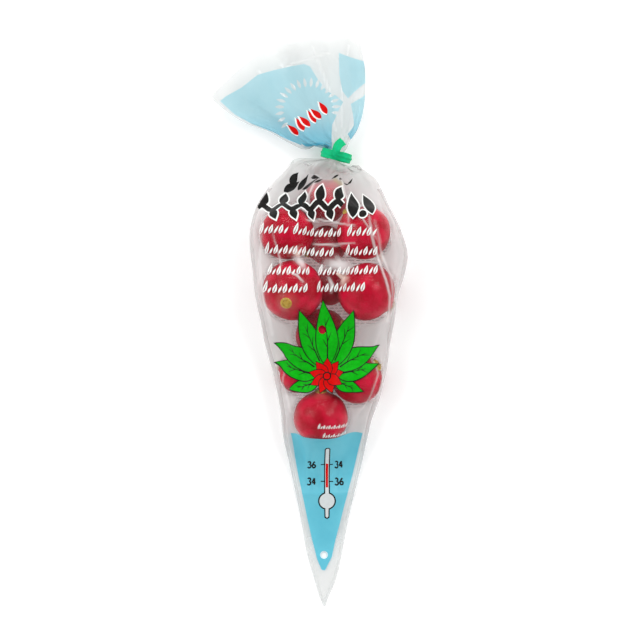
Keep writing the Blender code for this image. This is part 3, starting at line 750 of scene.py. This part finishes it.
def thermometer():
    """Plain thermometer with two marks and numbers, on the blue tail."""
    glass = [
        (-0.5, 56), (-0.5, 79.1), (0.2, 80), (1.8, 80), (2.5, 79.1), (2.5, 56), (2.3, 44.8), (1, 44),
        (-0.3, 44.8)]
    inner = [
        (0.1, 56), (0.1, 78.8), (0.5, 79.4), (1.5, 79.4), (1.9, 78.8), (1.9, 56), (1.7, 45.3), (1, 44.7),
        (0.3, 45.3)]
    shapes = [
        ("black", glass), ("black", disc(1, 53.2, 4.5)), ("pale_grey", inner),
        ("pale_grey", disc(1, 53.2, 3.8)), ("red", box(0.35, 1.65, 59.8, 71))]
    for y in (62.6, 70.6):
        for left, right in ((-2.2, -0.3), (2.3, 4.2)):
            shapes.append(("black", box(left, right, y - 0.25, y + 0.25)))
    for text, x, y in (("36", -9, 69), ("34", 5.2, 69), ("34", -9, 61), ("36", 5.2, 61)):
        shapes += digits(text, x, y, 3.2)
    return shapes


def blue_tail():
    """Blue field that fills the tail and ends in a wavy edge."""
    return [("blue", [
        (-18, 86.9), (-16.5, 79.5), (-14.5, 70), (-12.5, 61.5), (-10.7, 53.5), (-8.8, 44), (-6.4, 33.5),
        (-3.8, 23.5), (-1.6, 18.5), (0, 18.3), (3.4, 25), (5.2, 33.5), (8, 44), (10, 52), (12.6, 61.5),
        (15.2, 71), (17.3, 79.5), (19.2, 86.9), (10, 86.5), (0.5, 86.2), (-9, 86.5)])]


def blue_mouth():
    """Blue fields with a clear band between them, beyond the neck."""
    left = [
        (-52.4, 253.2), (-49.5, 255.6), (-41.5, 260), (-33.5, 266), (-25.5, 268.4), (-17, 270.6),
        (-10.5, 271.7), (-7.5, 270.4), (-4, 264.5), (1, 257.5), (5.5, 255.5), (9, 252.5), (6.5, 248),
        (3.4, 241), (3.2, 234), (3.6, 229), (-8, 229), (-17, 233.2), (-26, 237.5), (-36, 241.5), (-45, 246.5)]
    upper = [
        (6.8, 277.2), (7, 266), (8.6, 258), (11.5, 254.4), (14.5, 257.5), (19, 261.5), (23, 264),
        (23, 272.2), (19.5, 273), (13, 275)]
    lower = [
        (13, 251.8), (16, 253.6), (23, 258), (23, 246), (18, 236), (13.2, 232.8), (11.5, 236.5),
        (14.5, 241), (14, 247)]
    return [("pale_blue", shape) for shape in (left, upper, lower)]


def mouth_marks():
    """Ring of unprinted leaves and a slanting row of red petals edged in white, on the blue field."""
    shapes = []
    for degrees in np.arange(-8, 214, 13):
        a = math.radians(degrees)
        foot = (-8.5 + 11.6 * math.cos(a), 248.6 + 11.6 * math.sin(a))
        shapes.append(("clear", leaf(*foot, degrees, 4.8, 1.7, 0.06, 0.9)))
    for number in range(6):
        x, y, degrees = -13 + 2.8 * number, 236.2 + 2.05 * number, 118 if number % 2 else 132
        shapes.append(("white", leaf(x - 0.2, y - 0.5, degrees, 8.4, 3.6, 0.1)))
        shapes.append(("red", leaf(x, y, degrees, 7.4, 2.9, 0.1)))
    return shapes


def grey_rules(rng):
    """Fine grey rules in short runs on the lower ply, as under small print."""
    shapes = []
    for y in np.arange(100, 184, 1.5):
        x, stop = -0.17 * y - 1, 0.17 * y + 3
        while x < stop:
            run = rng.uniform(1.0, 3.2)
            shapes.append(("grey", box(x, x + run, y, y + 0.3)))
            x += run + 0.8
    return shapes


def on_ply(grid, at):
    """Values of a grid at columns and rows with fractions, and how they change with each."""
    rows, columns = grid.shape[:2]
    c = np.clip(at[:, 0].astype(int), 0, columns - 2)
    r = np.clip(at[:, 1].astype(int), 0, rows - 2)
    u, v = (at[:, 0] - c)[:, None], (at[:, 1] - r)[:, None]
    a, b, d, e = grid[r, c], grid[r, c + 1], grid[r + 1, c], grid[r + 1, c + 1]
    value = (a * (1 - u) + b * u) * (1 - v) + (d * (1 - u) + e * u) * v
    return value, (b - a) * (1 - v) + (e - d) * v, (d - a) * (1 - u) + (e - b) * u


def place_on_ply(plan, spots):
    """Columns and rows, with fractions, of places on the plan of the bag."""
    rows, columns = plan.shape[:2]
    coarse = plan[::4, ::4]
    nearest = ((spots[:, None] - coarse.reshape(1, -1, 2)) ** 2).sum(-1).argmin(1)
    r, c = np.divmod(nearest, coarse.shape[1])
    at = np.stack([c, r], 1) * 4.0
    for _ in range(14):
        here, by_column, by_row = on_ply(plan, at)
        miss = spots - here
        whole = by_column[:, 0] * by_row[:, 1] - by_column[:, 1] * by_row[:, 0]
        whole = np.where(np.abs(whole) < 1e-6, 1e-6, whole)
        step = np.stack([
            miss[:, 0] * by_row[:, 1] - miss[:, 1] * by_row[:, 0],
            by_column[:, 0] * miss[:, 1] - by_column[:, 1] * miss[:, 0],
        ], 1) / whole[:, None]
        at = np.clip(at + np.clip(step, -6, 6), 0, (columns - 1, rows - 1))
    return at


def inside(outline, spots):
    """Which spots lie inside a closed outline."""
    found = np.zeros(len(spots), bool)
    low, high = outline.min(0), outline.max(0)
    near = np.flatnonzero(((spots >= low) & (spots <= high)).all(1))
    x, y = spots[near].T
    odd = np.zeros(len(near), bool)
    for (ax, ay), (bx, by) in zip(outline, np.roll(outline, -1, axis=0)):
        if ay != by:
            odd ^= ((ay > y) != (by > y)) & (x < (bx - ax) * (y - ay) / (by - ay) + ax)
    found[near] = odd
    return found


def printed_ply(grid, plan, shapes):
    """Points, triangles and the layer of each triangle of a ply with its print cut into it."""
    rows, columns = grid.shape[:2]
    row, column = np.mgrid[0:rows, 0:columns]
    points = [np.stack([column.ravel(), row.ravel()], 1).astype(float)]
    count, edges, outlines = rows * columns, [], []
    for layer, shape in shapes:
        shape = np.asarray(shape, float)
        sides = np.roll(shape, -1, axis=0) - shape
        steps = np.maximum(np.ceil(np.linalg.norm(sides, axis=1) / CONTOUR_STEP), 1).astype(int)
        path = np.concatenate([
            start + side * np.arange(n)[:, None] / n for start, side, n in zip(shape, sides, steps)])
        placed = place_on_ply(plan, path)
        outlines.append((FILM_LAYERS.index(layer), placed))
        points.append(placed)
        edges += [(count + i, count + (i + 1) % len(placed)) for i in range(len(placed))]
        count += len(placed)
    points = [Vector(point) for point in np.concatenate(points)]
    flat, _, faces, *_ = delaunay_2d_cdt(points, edges, [], 0, 1e-4)
    flat, faces = np.array(flat), np.array(faces)
    middle = flat[faces].mean(axis=1)
    layers = np.zeros(len(faces), int)
    for layer, outline in outlines:
        layers[inside(outline, middle)] = layer
    return on_ply(grid, flat)[0], faces, layers


def shining(tree, body, roughness, bump=None, share_bump=None):
    """Ends a film's finish: the body under a sharp white shine that grows at a low angle. One bump
    turns what it mirrors, the other varies how much it mirrors."""
    gloss = node(tree, "BsdfGlossy", "#FFFFFF", roughness, named={"Normal": bump})
    mirror = node(tree, "Fresnel", SHINE_INDEX, named={"Normal": share_bump})
    mirror = node(tree, "Math MULTIPLY", mirror, SHINE_SHARE)
    node(tree, "OutputMaterial", node(tree, "MixShader", mirror, body, gloss))


def film_finish():
    """Clear glossy film: see-through where it lies on a radish, a white haze where it stands off
    or is gathered, with painted white highlights on its creases, and a sharp shine on its folds.
    Its crinkles are 4 mm wide, coarser than real ones, so that they show."""
    made, tree, place = finish("clear_glossy_film")
    crinkle = node(tree, "TexNoise", place, named={"Scale": 260.0, "Detail": 3.0, "Roughness": 0.55})
    bump = node(tree, "Bump", 0.15, 0.0006, named={"Height": crinkle})
    haze_here = node(tree, "Attribute", attribute_name="haze", out=2)
    crease_and_painted_glint = node(tree, "Attribute", attribute_name="crease_and_painted_glint", out=2)
    grey = node(tree, "Mix", haze_here, named={6: "#FDFDFD", 7: "#EDEEEE"}, out=2, data_type="RGBA")
    clear = node(tree, "BsdfTransparent", grey)
    haze = node(tree, "BsdfDiffuse", "#F5F6F5")
    through = node(tree, "BsdfTranslucent", "#F5F6F5")
    milk = node(tree, "MixShader", 0.35, haze, through)
    slope = node(tree, "LayerWeight", 0.5, named={"Normal": bump}, out=1)
    slope = node(tree, "Math POWER", slope, 3.0)
    veil = node(tree, "Math MULTIPLY_ADD", slope, 0.22, haze_here)
    # Painted highlight: the crease marks add white haze where glints of light on the film's creases would be.
    veil = node(tree, "Math MULTIPLY_ADD", crease_and_painted_glint, 0.9, veil)
    body = node(tree, "MixShader", veil, clear, milk)
    shining(tree, body, 0.14, bump, bump)
    return made


def weld_finish():
    """Welded seam: two plies melted into one, a little milkier than the film, with ribs 0.35 mm
    apart from the welding bar."""
    made, tree, place = finish("welded_film_edge")
    ribs = node(tree, "TexWave", place, named={"Scale": 900.0, "Distortion": 1.0}, bands_direction="Y")
    bump = node(tree, "Bump", 0.3, 0.0002, named={"Height": ribs})
    clear = node(tree, "BsdfTransparent", "#F4F5F5")
    milk = node(tree, "BsdfDiffuse", "#F5F6F5")
    veil = node(tree, "MapRange", ribs, 0.0, 1.0, 0.3, 0.42, interpolation_type="SMOOTHSTEP")
    body = node(tree, "MixShader", veil, clear, milk)
    shining(tree, body, 0.2, bump)
    return made


def blue_ink(name, dark, light, tint, cover, gathered):
    """Blue ink on clear film: its own colour, uneven over 11 mm and deeper where the film is
    gathered at the tie, over what it covers, a clear tint over the rest, and the film's shine."""
    made, tree, place = finish(name)
    patches = node(tree, "TexNoise", place, named={"Scale": 90.0, "Detail": 3.0})
    colour = toned(tree, patches, 0.3, 0.7, dark, light)
    along = node(tree, "SeparateXYZ", place, out=1)
    tie_y = (NECK[1] + SHIFT[1]) * MM
    colour = toned(tree, along, tie_y + 0.004, tie_y + 0.024, colour, "#3CB8DA", gathered, 0.0)
    facing = node(tree, "BsdfDiffuse", colour)
    through = node(tree, "BsdfTranslucent", colour)
    ink = node(tree, "MixShader", 0.2, facing, through)
    clear = node(tree, "BsdfTransparent", tint)
    body = node(tree, "MixShader", cover, clear, ink)
    shining(tree, body, 0.16)
    return made


def cover_ink(name, dark, light, roughness):
    """Opaque ink on film: even colour with patches of 2 mm where it lies thinner, and satin."""
    made, tree, place = finish(name)
    patches = node(tree, "TexNoise", place, named={"Scale": 450.0, "Detail": 4.0, "Roughness": 0.7})
    colour = toned(tree, patches, 0.35, 0.65, dark, light)
    shader = node(tree, "BsdfPrincipled", colour, named={
        "Roughness": roughness, "IOR": 1.45, "Specular IOR Level": 0.1})
    node(tree, "OutputMaterial", shader)
    return made


def film_mesh(name, plies, finishes):
    """The plies as one mesh, joined along both seams, with the print as its own materials."""
    mesh = bpy.data.meshes.new(name)
    form = bmesh.new()
    marks = [form.verts.layers.float.new(mark) for mark in ("haze", "crease_and_painted_glint")]
    for points, faces, layers, facing in plies:
        corners = [form.verts.new(point * MM) for point in points[:, :3] + SHIFT]
        for corner, values in zip(corners, points[:, 3:]):
            for mark, value in zip(marks, values):
                corner[mark] = value
        for (a, b, c), layer in zip(faces if facing else faces[:, ::-1], layers):
            if FILM_LAYERS[layer] == "hole":
                continue
            face = form.faces.new((corners[a], corners[b], corners[c]))
            face.material_index = layer
            face.smooth = True
    bmesh.ops.delete(form, geom=[v for v in form.verts if not v.link_faces], context="VERTS")
    edge = list({v for e in form.edges if e.is_boundary for v in e.verts})
    bmesh.ops.remove_doubles(form, verts=edge, dist=0.000002)
    for seam in form.edges:
        seam.smooth = seam.calc_face_angle(0.0) < SEAM_ANGLE
    form.to_mesh(mesh)
    form.free()
    for made in finishes:
        mesh.materials.append(made)
    return mesh


# Creases and folds that the film has kept. They are ridged into it and also painted whiter in its haze as
# highlights, and the short broad ones between the radishes are painted glints of light: strength, half width
# and places along each on the plan.
CREASES_AND_GLINTS = (
    (0.9, 0.5, (-10.5, 193.2), (-8.5, 192.6), (-2.5, 193.3), (2, 192.7), (8.5, 191.2), (16, 189.8)),
    (0.9, 0.5, (-5.5, 181.5), (0, 181.6), (5.5, 181.2), (16, 181.8)),
    (0.9, 0.6, (-17.5, 167.5), (-14.5, 165.8), (-12, 163)),
    # Painted glints: white patches of light on the film between the upper and middle radishes.
    (1, 1.7, (-14.8, 174), (-12, 172.2), (-11, 169.8)),
    (1, 2.2, (1.5, 172.8), (7, 171.8), (12.8, 171)),
    (0.9, 1.5, (6, 175), (8, 172), (9.5, 168.5)),
    (0.8, 0.9, (2, 165.5), (3.5, 162), (3, 158.5)),
    (0.8, 0.6, (22, 196.5), (24, 184), (29, 169), (32, 156), (31.5, 143)),
    (0.5, 0.7, (25, 192), (28.5, 178), (33, 166), (33.5, 152)),
    (0.5, 0.5, (-26.5, 187), (-22, 172), (-23, 166)),
    (0.5, 0.7, (-31, 190), (-33, 172), (-30, 152), (-27, 136)),
    (0.5, 0.5, (12, 205), (20, 192), (27, 182)),
    (0.6, 0.7, (8, 214), (12, 202), (13, 190)),
    (0.6, 0.7, (-2, 215), (-8, 206), (-9, 197)),
    (0.4, 0.6, (-17, 128), (-21, 112), (-18, 98)),
    (0.4, 0.6, (21, 130), (26, 118), (20, 100)),
    (0.35, 0.5, (2, 236), (-9, 252), (-22, 271)),
    (0.3, 0.5, (0, 240), (-16, 251), (-33, 268)),
    (0.3, 0.5, (-3, 236), (-21, 243), (-44, 258)),
    (0.35, 0.5, (5, 238), (2, 258), (-6, 280)),
    (0.3, 0.5, (8, 240), (8.5, 260), (12, 281)),
    (0.3, 0.6, (-30, 262), (-16, 272), (2, 277)),
)
CREASE_HEIGHT = 0.25
SEAM_ANGLE = math.radians(60)        # the edges of the film past this angle stay sharp
TOUCHING, STANDING_OFF = 1.0, 6.0    # distance from a radish where film is clear, and where it is hazy
FREE_FROM, FREE_TO = 1.0, 3.0        # distance inside and outside a radish's edge where it comes free
HAZE_STANDING_OFF, HAZE_SIDE, SIDE_WIDTH = 0.02, 0.88, 26.0
HAZE_TAIL, TAIL_CLEAR, TAIL_FADE = 0.2, 55.0, 25.0
HAZE_GATHERED, GATHERED_FROM, GATHERED_TO = 0.42, 201.0, 219.0


def crease_and_glint_strength(plan):
    """How strongly each point of a ply is creased, from 0 to 1, which also sets its painted white highlight.
    """
    found = np.zeros(plan.shape[:2])
    for strength, half_width, *places in CREASES_AND_GLINTS:
        places = np.array(places, float)
        count = len(places) - 1
        for number, (start, stop) in enumerate(zip(places[:-1], places[1:])):
            way = stop - start
            along = np.clip(((plan - start) @ way) / (way @ way), 0, 1)
            distance = np.linalg.norm(plan - (start + along[..., None] * way), axis=-1)
            fade = np.sin(math.pi * np.clip((number + along) / count, 0.04, 0.96)) ** 0.4
            found = np.maximum(found, strength * fade * np.exp(-((distance / half_width) ** 3)))
    return found


def haze_of(grid):
    """How hazy each point of a ply looks. Film is clear on a radish. It is white where it hangs free
    at the sides and where it is gathered, from the shoulder to the mouth, and pale in the tail."""
    x, y = sheet_xy[..., 0], sheet_xy[..., 1]
    off, free = np.full(x.shape, 1e3), np.full(x.shape, 1e3)
    for name, (across, along, _, diameter, _, _) in RADISHES.items():
        off = np.minimum(off, np.linalg.norm(grid - radish_middle(name), axis=-1) - diameter / 2)
        free = np.minimum(free, np.hypot(grid[..., 0] - across, grid[..., 1] - along) - diameter / 2)
    off = np.clip((off - TOUCHING) / (STANDING_OFF - TOUCHING), 0, 1)
    free = np.clip((free + FREE_FROM) / (FREE_FROM + FREE_TO), 0, 1)
    side = np.clip(1 - np.minimum(x - x[:, :1], x[:, -1:] - x) / SIDE_WIDTH, 0, 1)
    gathered = np.clip((y - GATHERED_FROM) / (GATHERED_TO - GATHERED_FROM), 0, 1)
    tail = np.clip((TAIL_CLEAR - y) / TAIL_FADE, 0, 1)
    tail = tail**2 * (3 - 2 * tail)
    hanging = np.where(y < NECK[1], HAZE_SIDE * side**1.2 * free**2 * (3 - 2 * free), HAZE_GATHERED)
    hanging = HAZE_STANDING_OFF * off * (1 - tail) + (hanging * (1 - tail) + HAZE_TAIL * tail)
    return np.maximum(hanging, HAZE_GATHERED * gathered * (2 - gathered))


def marked(grid, crease_and_painted_glint):
    """A ply's points, ridged along its creases, with its haze and its creases, which also paint white
    highlights on the film.
    """
    ridged = grid + (CREASE_HEIGHT * crease_and_painted_glint)[..., None] * ply_normals(grid)
    return np.concatenate([ridged, haze_of(grid)[..., None], crease_and_painted_glint[..., None]], axis=-1)


print_rng = np.random.default_rng(PRINT_SEED)
# The crease marks give both ridges and a painted white highlight, on the front ply only.
crease_and_painted_glint = crease_and_glint_strength(sheet_xy)
front, back = marked(front, crease_and_painted_glint), marked(back, 0 * crease_and_painted_glint)
welds = []
for column, inward in ((0, 1), (-1, -1)):
    edge = sheet_xy[::4, column]
    edge = edge[edge[:, 1] < WELD_TOP]
    welds.append(("weld", np.concatenate([edge, (edge + (inward * WELD_WIDTH, 0))[::-1]])))
vents = [("hole", disc(*vent, VENT_RADIUS, 20)) for vent in VENTS]
front_print = (
    welds + blue_tail() + blue_mouth() + rows_of_leaves(print_rng) + vine() + small_twigs() + foliage()
    + thermometer() + mouth_marks() + vents
)
back_print = welds + blue_tail() + grey_rules(print_rng) + vents
plies = [
    (*printed_ply(grid, sheet_xy, shapes), facing)
    for grid, shapes, facing in ((front, front_print, True), (back, back_print, False))]
finishes = [film_finish(), weld_finish()] + [blue_ink(*values) for values in (
    ("blue_ink", "#72D2E6", "#7CDAEC", "#A8DEE9", 0.85, 0.0),
    ("pale_blue_ink", "#B8E0E9", "#C0E5ED", "#C4E5ED", 0.55, 0.85),
)] + [cover_ink(*values) for values in (
    ("white_ink", "#E4E5E3", "#EDEEEC", 0.4), ("green_ink", "#05A20B", "#08B311", 0.5),
    ("red_ink", "#C60203", "#D30706", 0.45), ("black_ink", "#141312", "#201E1D", 0.42),
    ("grey_ink", "#9B9D9C", "#AEB0AE", 0.45), ("pale_grey_ink", "#CCD2D3", "#D2D8D9", 0.45),
)]
film = in_scene("film", film_mesh("film", plies, finishes))
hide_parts("bag_film")
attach(film, "root")


# Tie: a flat strip of green polyethylene with a rib along its middle, moulded over a steel wire.
# It is wound once round the gathered neck over its own start, and its end turns forwards.
STRIP_WIDTH, STRIP_THICKNESS, RIB_DIAMETER = 4.6, 0.6, 1.5
TIE_HALF_WIDTH, TIE_HALF_HEIGHT, TIE_LAYER = 6.5, 5.65, 1.8
TIE_ROWS, TIE_RIPPLE = 60, 0.2
# Across, along and up from the neck's middle, then the direction of the strip's width.
TIE_END = (
    (1.6, 0.4, 8.0, 0.45, 0.75, 0.5), (0.4, 1.7, 8.9, 0.8, 0.3, 0.6), (0.3, 3.6, 9.3, 0.95, -0.1, 0.4),
    (0.9, 5.6, 9.0, 0.95, -0.3, 0.2), (2.3, 7.6, 8.2, 0.85, -0.55, 0.1),
)


def tie_path():
    """Middle of the rib and the direction of the strip's width, from the start to the free end."""
    turn = np.radians(np.linspace(45, -325, TIE_ROWS))
    climb = np.clip((np.radians(-220) - turn) / np.radians(60), 0, 1)
    layer = TIE_LAYER * climb**2 * (3 - 2 * climb)
    wound = np.stack([
        (TIE_HALF_WIDTH + layer) * np.sin(turn), np.linspace(-0.2, 0.2, TIE_ROWS),
        (TIE_HALF_HEIGHT + layer) * np.cos(turn)], axis=-1)
    values = np.vstack([np.concatenate([wound[-1], (0, 1, 0)]), TIE_END])
    slopes = np.gradient(values, axis=0)
    free = np.array([
        smooth_between(values[i], values[i + 1], slopes[i], slopes[i + 1], t)
        for i in range(len(TIE_END)) for t in np.linspace(0.2, 1, 5)])
    middle = np.concatenate([wound, free[:, :3]])
    width = np.concatenate([np.tile([0, 1, 0], (TIE_ROWS, 1)), free[:, 3:]])
    to_bag = np.array([[NECK_COS, -NECK_SIN, 0], [NECK_SIN, NECK_COS, 0], [0, 0, 1]])
    return middle @ to_bag + NECK + SHIFT, width @ to_bag


def tie_tree():
    """Sweeps the strip's cross section with its rib along the path and ripples it a little."""
    tree, given = geometry_tree("ribbed_tie", {
        "width": "Float", "thickness": "Float", "rib": "Float", "ripple": "Float", "strip": "Material"})
    path = node(tree, "GeometryNodeMeshToCurve", given["Geometry"])
    path = node(tree, "GeometryNodeResampleCurve", path, None, 240)
    way = node(tree, "GeometryNodeInputNamedAttribute", "width_way", data_type="FLOAT_VECTOR")
    path = node(tree, "GeometryNodeSetCurveNormal", path, named={"Normal": way}, mode="FREE")
    section = node(tree, "GeometryNodeCurvePrimitiveCircle", 40, named={"Radius": 1.0})
    node(tree, "SeparateXYZ", node(tree, "GeometryNodeInputPosition"))
    x, y = tree.nodes[-1].outputs[:2]
    half = node(tree, "Math MULTIPLY", given["width"], 0.5)
    across = node(tree, "Math MULTIPLY", x, half)
    side = node(tree, "Math SIGN", y)
    steep = node(tree, "Math ABSOLUTE", y)
    steep = node(tree, "Math POWER", steep, 0.3)
    flat = node(tree, "Math MULTIPLY", given["thickness"], 0.5)
    flat = node(tree, "Math MULTIPLY", flat, steep)
    near = node(tree, "Math DIVIDE", across, given["rib"])
    near = node(tree, "Math MULTIPLY", near, 2.0)
    near = node(tree, "Math MULTIPLY", near, near)
    round_share = node(tree, "Math SUBTRACT", 1.0, near, use_clamp=True)
    round_share = node(tree, "Math POWER", round_share, 0.5)
    crest = node(tree, "Math MULTIPLY", given["rib"], 0.5)
    crest = node(tree, "Math MULTIPLY", crest, round_share)
    thick = node(tree, "Math MAXIMUM", flat, crest)
    thick = node(tree, "Math MULTIPLY", thick, side)
    shaped = node(tree, "CombineXYZ", across, thick)
    section = node(tree, "GeometryNodeSetPosition", section, None, shaped)
    body = node(tree, "GeometryNodeCurveToMesh", path, section, named={"Fill Caps": True})
    here = node(tree, "GeometryNodeInputPosition")
    noise = node(tree, "TexNoise", here, named={"Scale": 420.0, "Detail": 2.0}, out=1)
    noise = node(tree, "VectorMath SUBTRACT", noise, (0.5, 0.5, 0.5))
    noise = node(tree, "VectorMath SCALE", noise, named={"Scale": given["ripple"]})
    body = node(tree, "GeometryNodeSetPosition", body, None, None, noise)
    body = node(tree, "GeometryNodeSetShadeSmooth", body)
    body = node(tree, "GeometryNodeRealizeInstances", body)
    body = node(tree, "GeometryNodeSetMaterial", body, None, given["strip"])
    node(tree, "NodeGroupOutput", body)
    return tree


def strip_finish():
    """Moulded polyethylene: bright satin green with paler patches of 3 mm and a faint grain."""
    made, tree, place = finish("satin_green_plastic")
    patches = node(tree, "TexNoise", place, named={"Scale": 350.0, "Detail": 3.0})
    colour = toned(tree, patches, 0.3, 0.7, "#03B472", "#0AC083")
    bump = node(tree, "Bump", 0.2, 0.0002, named={"Height": patches})
    shader = node(tree, "BsdfPrincipled", colour, named={
        "Roughness": 0.42, "IOR": 1.5, "Specular IOR Level": 0.12, "Normal": bump})
    node(tree, "OutputMaterial", shader)
    return made


path, width_way = tie_path()
base = bpy.data.meshes.new("tie_path")
base.from_pydata((path * MM).tolist(), [(i, i + 1) for i in range(len(path) - 1)], [])
ways = base.attributes.new("width_way", "FLOAT_VECTOR", "POINT")
ways.data.foreach_set("vector", width_way.astype(np.float32).ravel())
tie = in_scene("tie_ribbed_strip", made_by(tie_tree(), base, {
    "width": STRIP_WIDTH * MM, "thickness": STRIP_THICKNESS * MM, "rib": RIB_DIAMETER * MM,
    "ripple": TIE_RIPPLE * MM, "strip": strip_finish()}))
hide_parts("tie_strip")
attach(tie, "root")


# Tie wire: soft drawn steel, galvanised, inside the strip's rib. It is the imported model's own.
def wire_finish():
    """Galvanised wire: dull grey zinc with a grain of 0.3 mm."""
    made, tree, place = finish("galvanised_wire")
    grain = node(tree, "TexNoise", place, named={"Scale": 3000.0, "Detail": 3.0})
    colour = node(tree, "Mix", grain, named={6: "#8F9294", 7: "#B4B7B8"}, out=2, data_type="RGBA")
    rough = node(tree, "MapRange", grain, 0.3, 0.7, 0.35, 0.5, interpolation_type="SMOOTHSTEP")
    shader = node(tree, "BsdfPrincipled", colour, named={"Metallic": 1.0, "Roughness": rough})
    node(tree, "OutputMaterial", shader)
    return made


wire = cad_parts["tie_wire"]
wire.data.materials.clear()
wire.data.materials.append(wire_finish())


# Studio: a white light table for a floor, soft light from all round and from three large softboxes,
# and a camera that looks straight down on the bag as the photograph does.
FLOOR_GLOW = 0.12
SKY_OVERHEAD, SKY_ROUND = 0.25, 0.87 # darker where the camera is, so that the film shows what it holds
CAMERA_HEIGHT, AIM_HEIGHT, VIEW_WIDTH = 2.0, 0.006, 0.32
PHOTO_MIDDLE = (-2.5, 143.75, 0)     # the middle of the picture, from the bag's middle line and tail


def floor_finish():
    """White acrylic of a light table: matt, with a barely visible grain of 2.5 mm, glowing a
    little, so that the ground stays white beside the film."""
    made, tree, place = finish("white_acrylic")
    grain = node(tree, "TexNoise", place, named={"Scale": 400.0, "Detail": 3.0})
    colour = node(tree, "Mix", grain, named={6: "#FAFAFA", 7: "#FDFDFD"}, out=2, data_type="RGBA")
    shader = node(tree, "BsdfPrincipled", colour, named={
        "Roughness": 0.95, "Specular IOR Level": 0.0, "Emission Color": "#FFFFFF",
        "Emission Strength": FLOOR_GLOW})
    node(tree, "OutputMaterial", shader)
    return made


mesh = bpy.data.meshes.new("floor")
mesh.from_pydata([(-3, -3, 0), (3, -3, 0), (3, 3, 0), (-3, 3, 0)], [], [(0, 1, 2, 3)])
mesh.materials.append(floor_finish())
floor = in_scene("floor", mesh)

scene = bpy.context.scene
scene.world = bpy.data.worlds.new("studio")
scene.world.use_nodes = True
sky = scene.world.node_tree
sky.nodes.clear()
up = node(sky, "SeparateXYZ", node(sky, "TexCoord"), out=2)
strength = node(sky, "MapRange", up, 0.75, 0.95, SKY_ROUND, SKY_OVERHEAD, interpolation_type="SMOOTHSTEP")
node(sky, "OutputWorld", node(sky, "Background", "#FFFFFF", strength))


def softbox(name, place, size, watts):
    light = bpy.data.lights.new(name, "AREA")
    light.shape = "RECTANGLE"
    light.size, light.size_y = size
    light.energy = watts
    lamp = in_scene(name, light)
    lamp.location = place
    lamp.rotation_mode = "QUATERNION"
    lamp.rotation_quaternion = (-Vector(place)).to_track_quat("-Z", "Y")


softbox("softbox_left", (-1.3, 0.5, 1.3), (1.0, 1.4), 11.5)
softbox("softbox_right", (1.2, 0.7, 1.5), (0.8, 1.2), 11.5)
softbox("softbox_top", (0.1, 1.6, 1.2), (1.4, 0.6), 5.5)

camera = bpy.data.cameras.new("camera")
camera.sensor_width = 36
camera.lens = camera.sensor_width * (CAMERA_HEIGHT - AIM_HEIGHT) / VIEW_WIDTH
scene.camera = in_scene("camera", camera)
scene.camera.location = (*((PHOTO_MIDDLE + SHIFT) * MM)[:2], CAMERA_HEIGHT)
scene.view_settings.view_transform = "Standard"
scene.cycles.transparent_max_bounces = 32
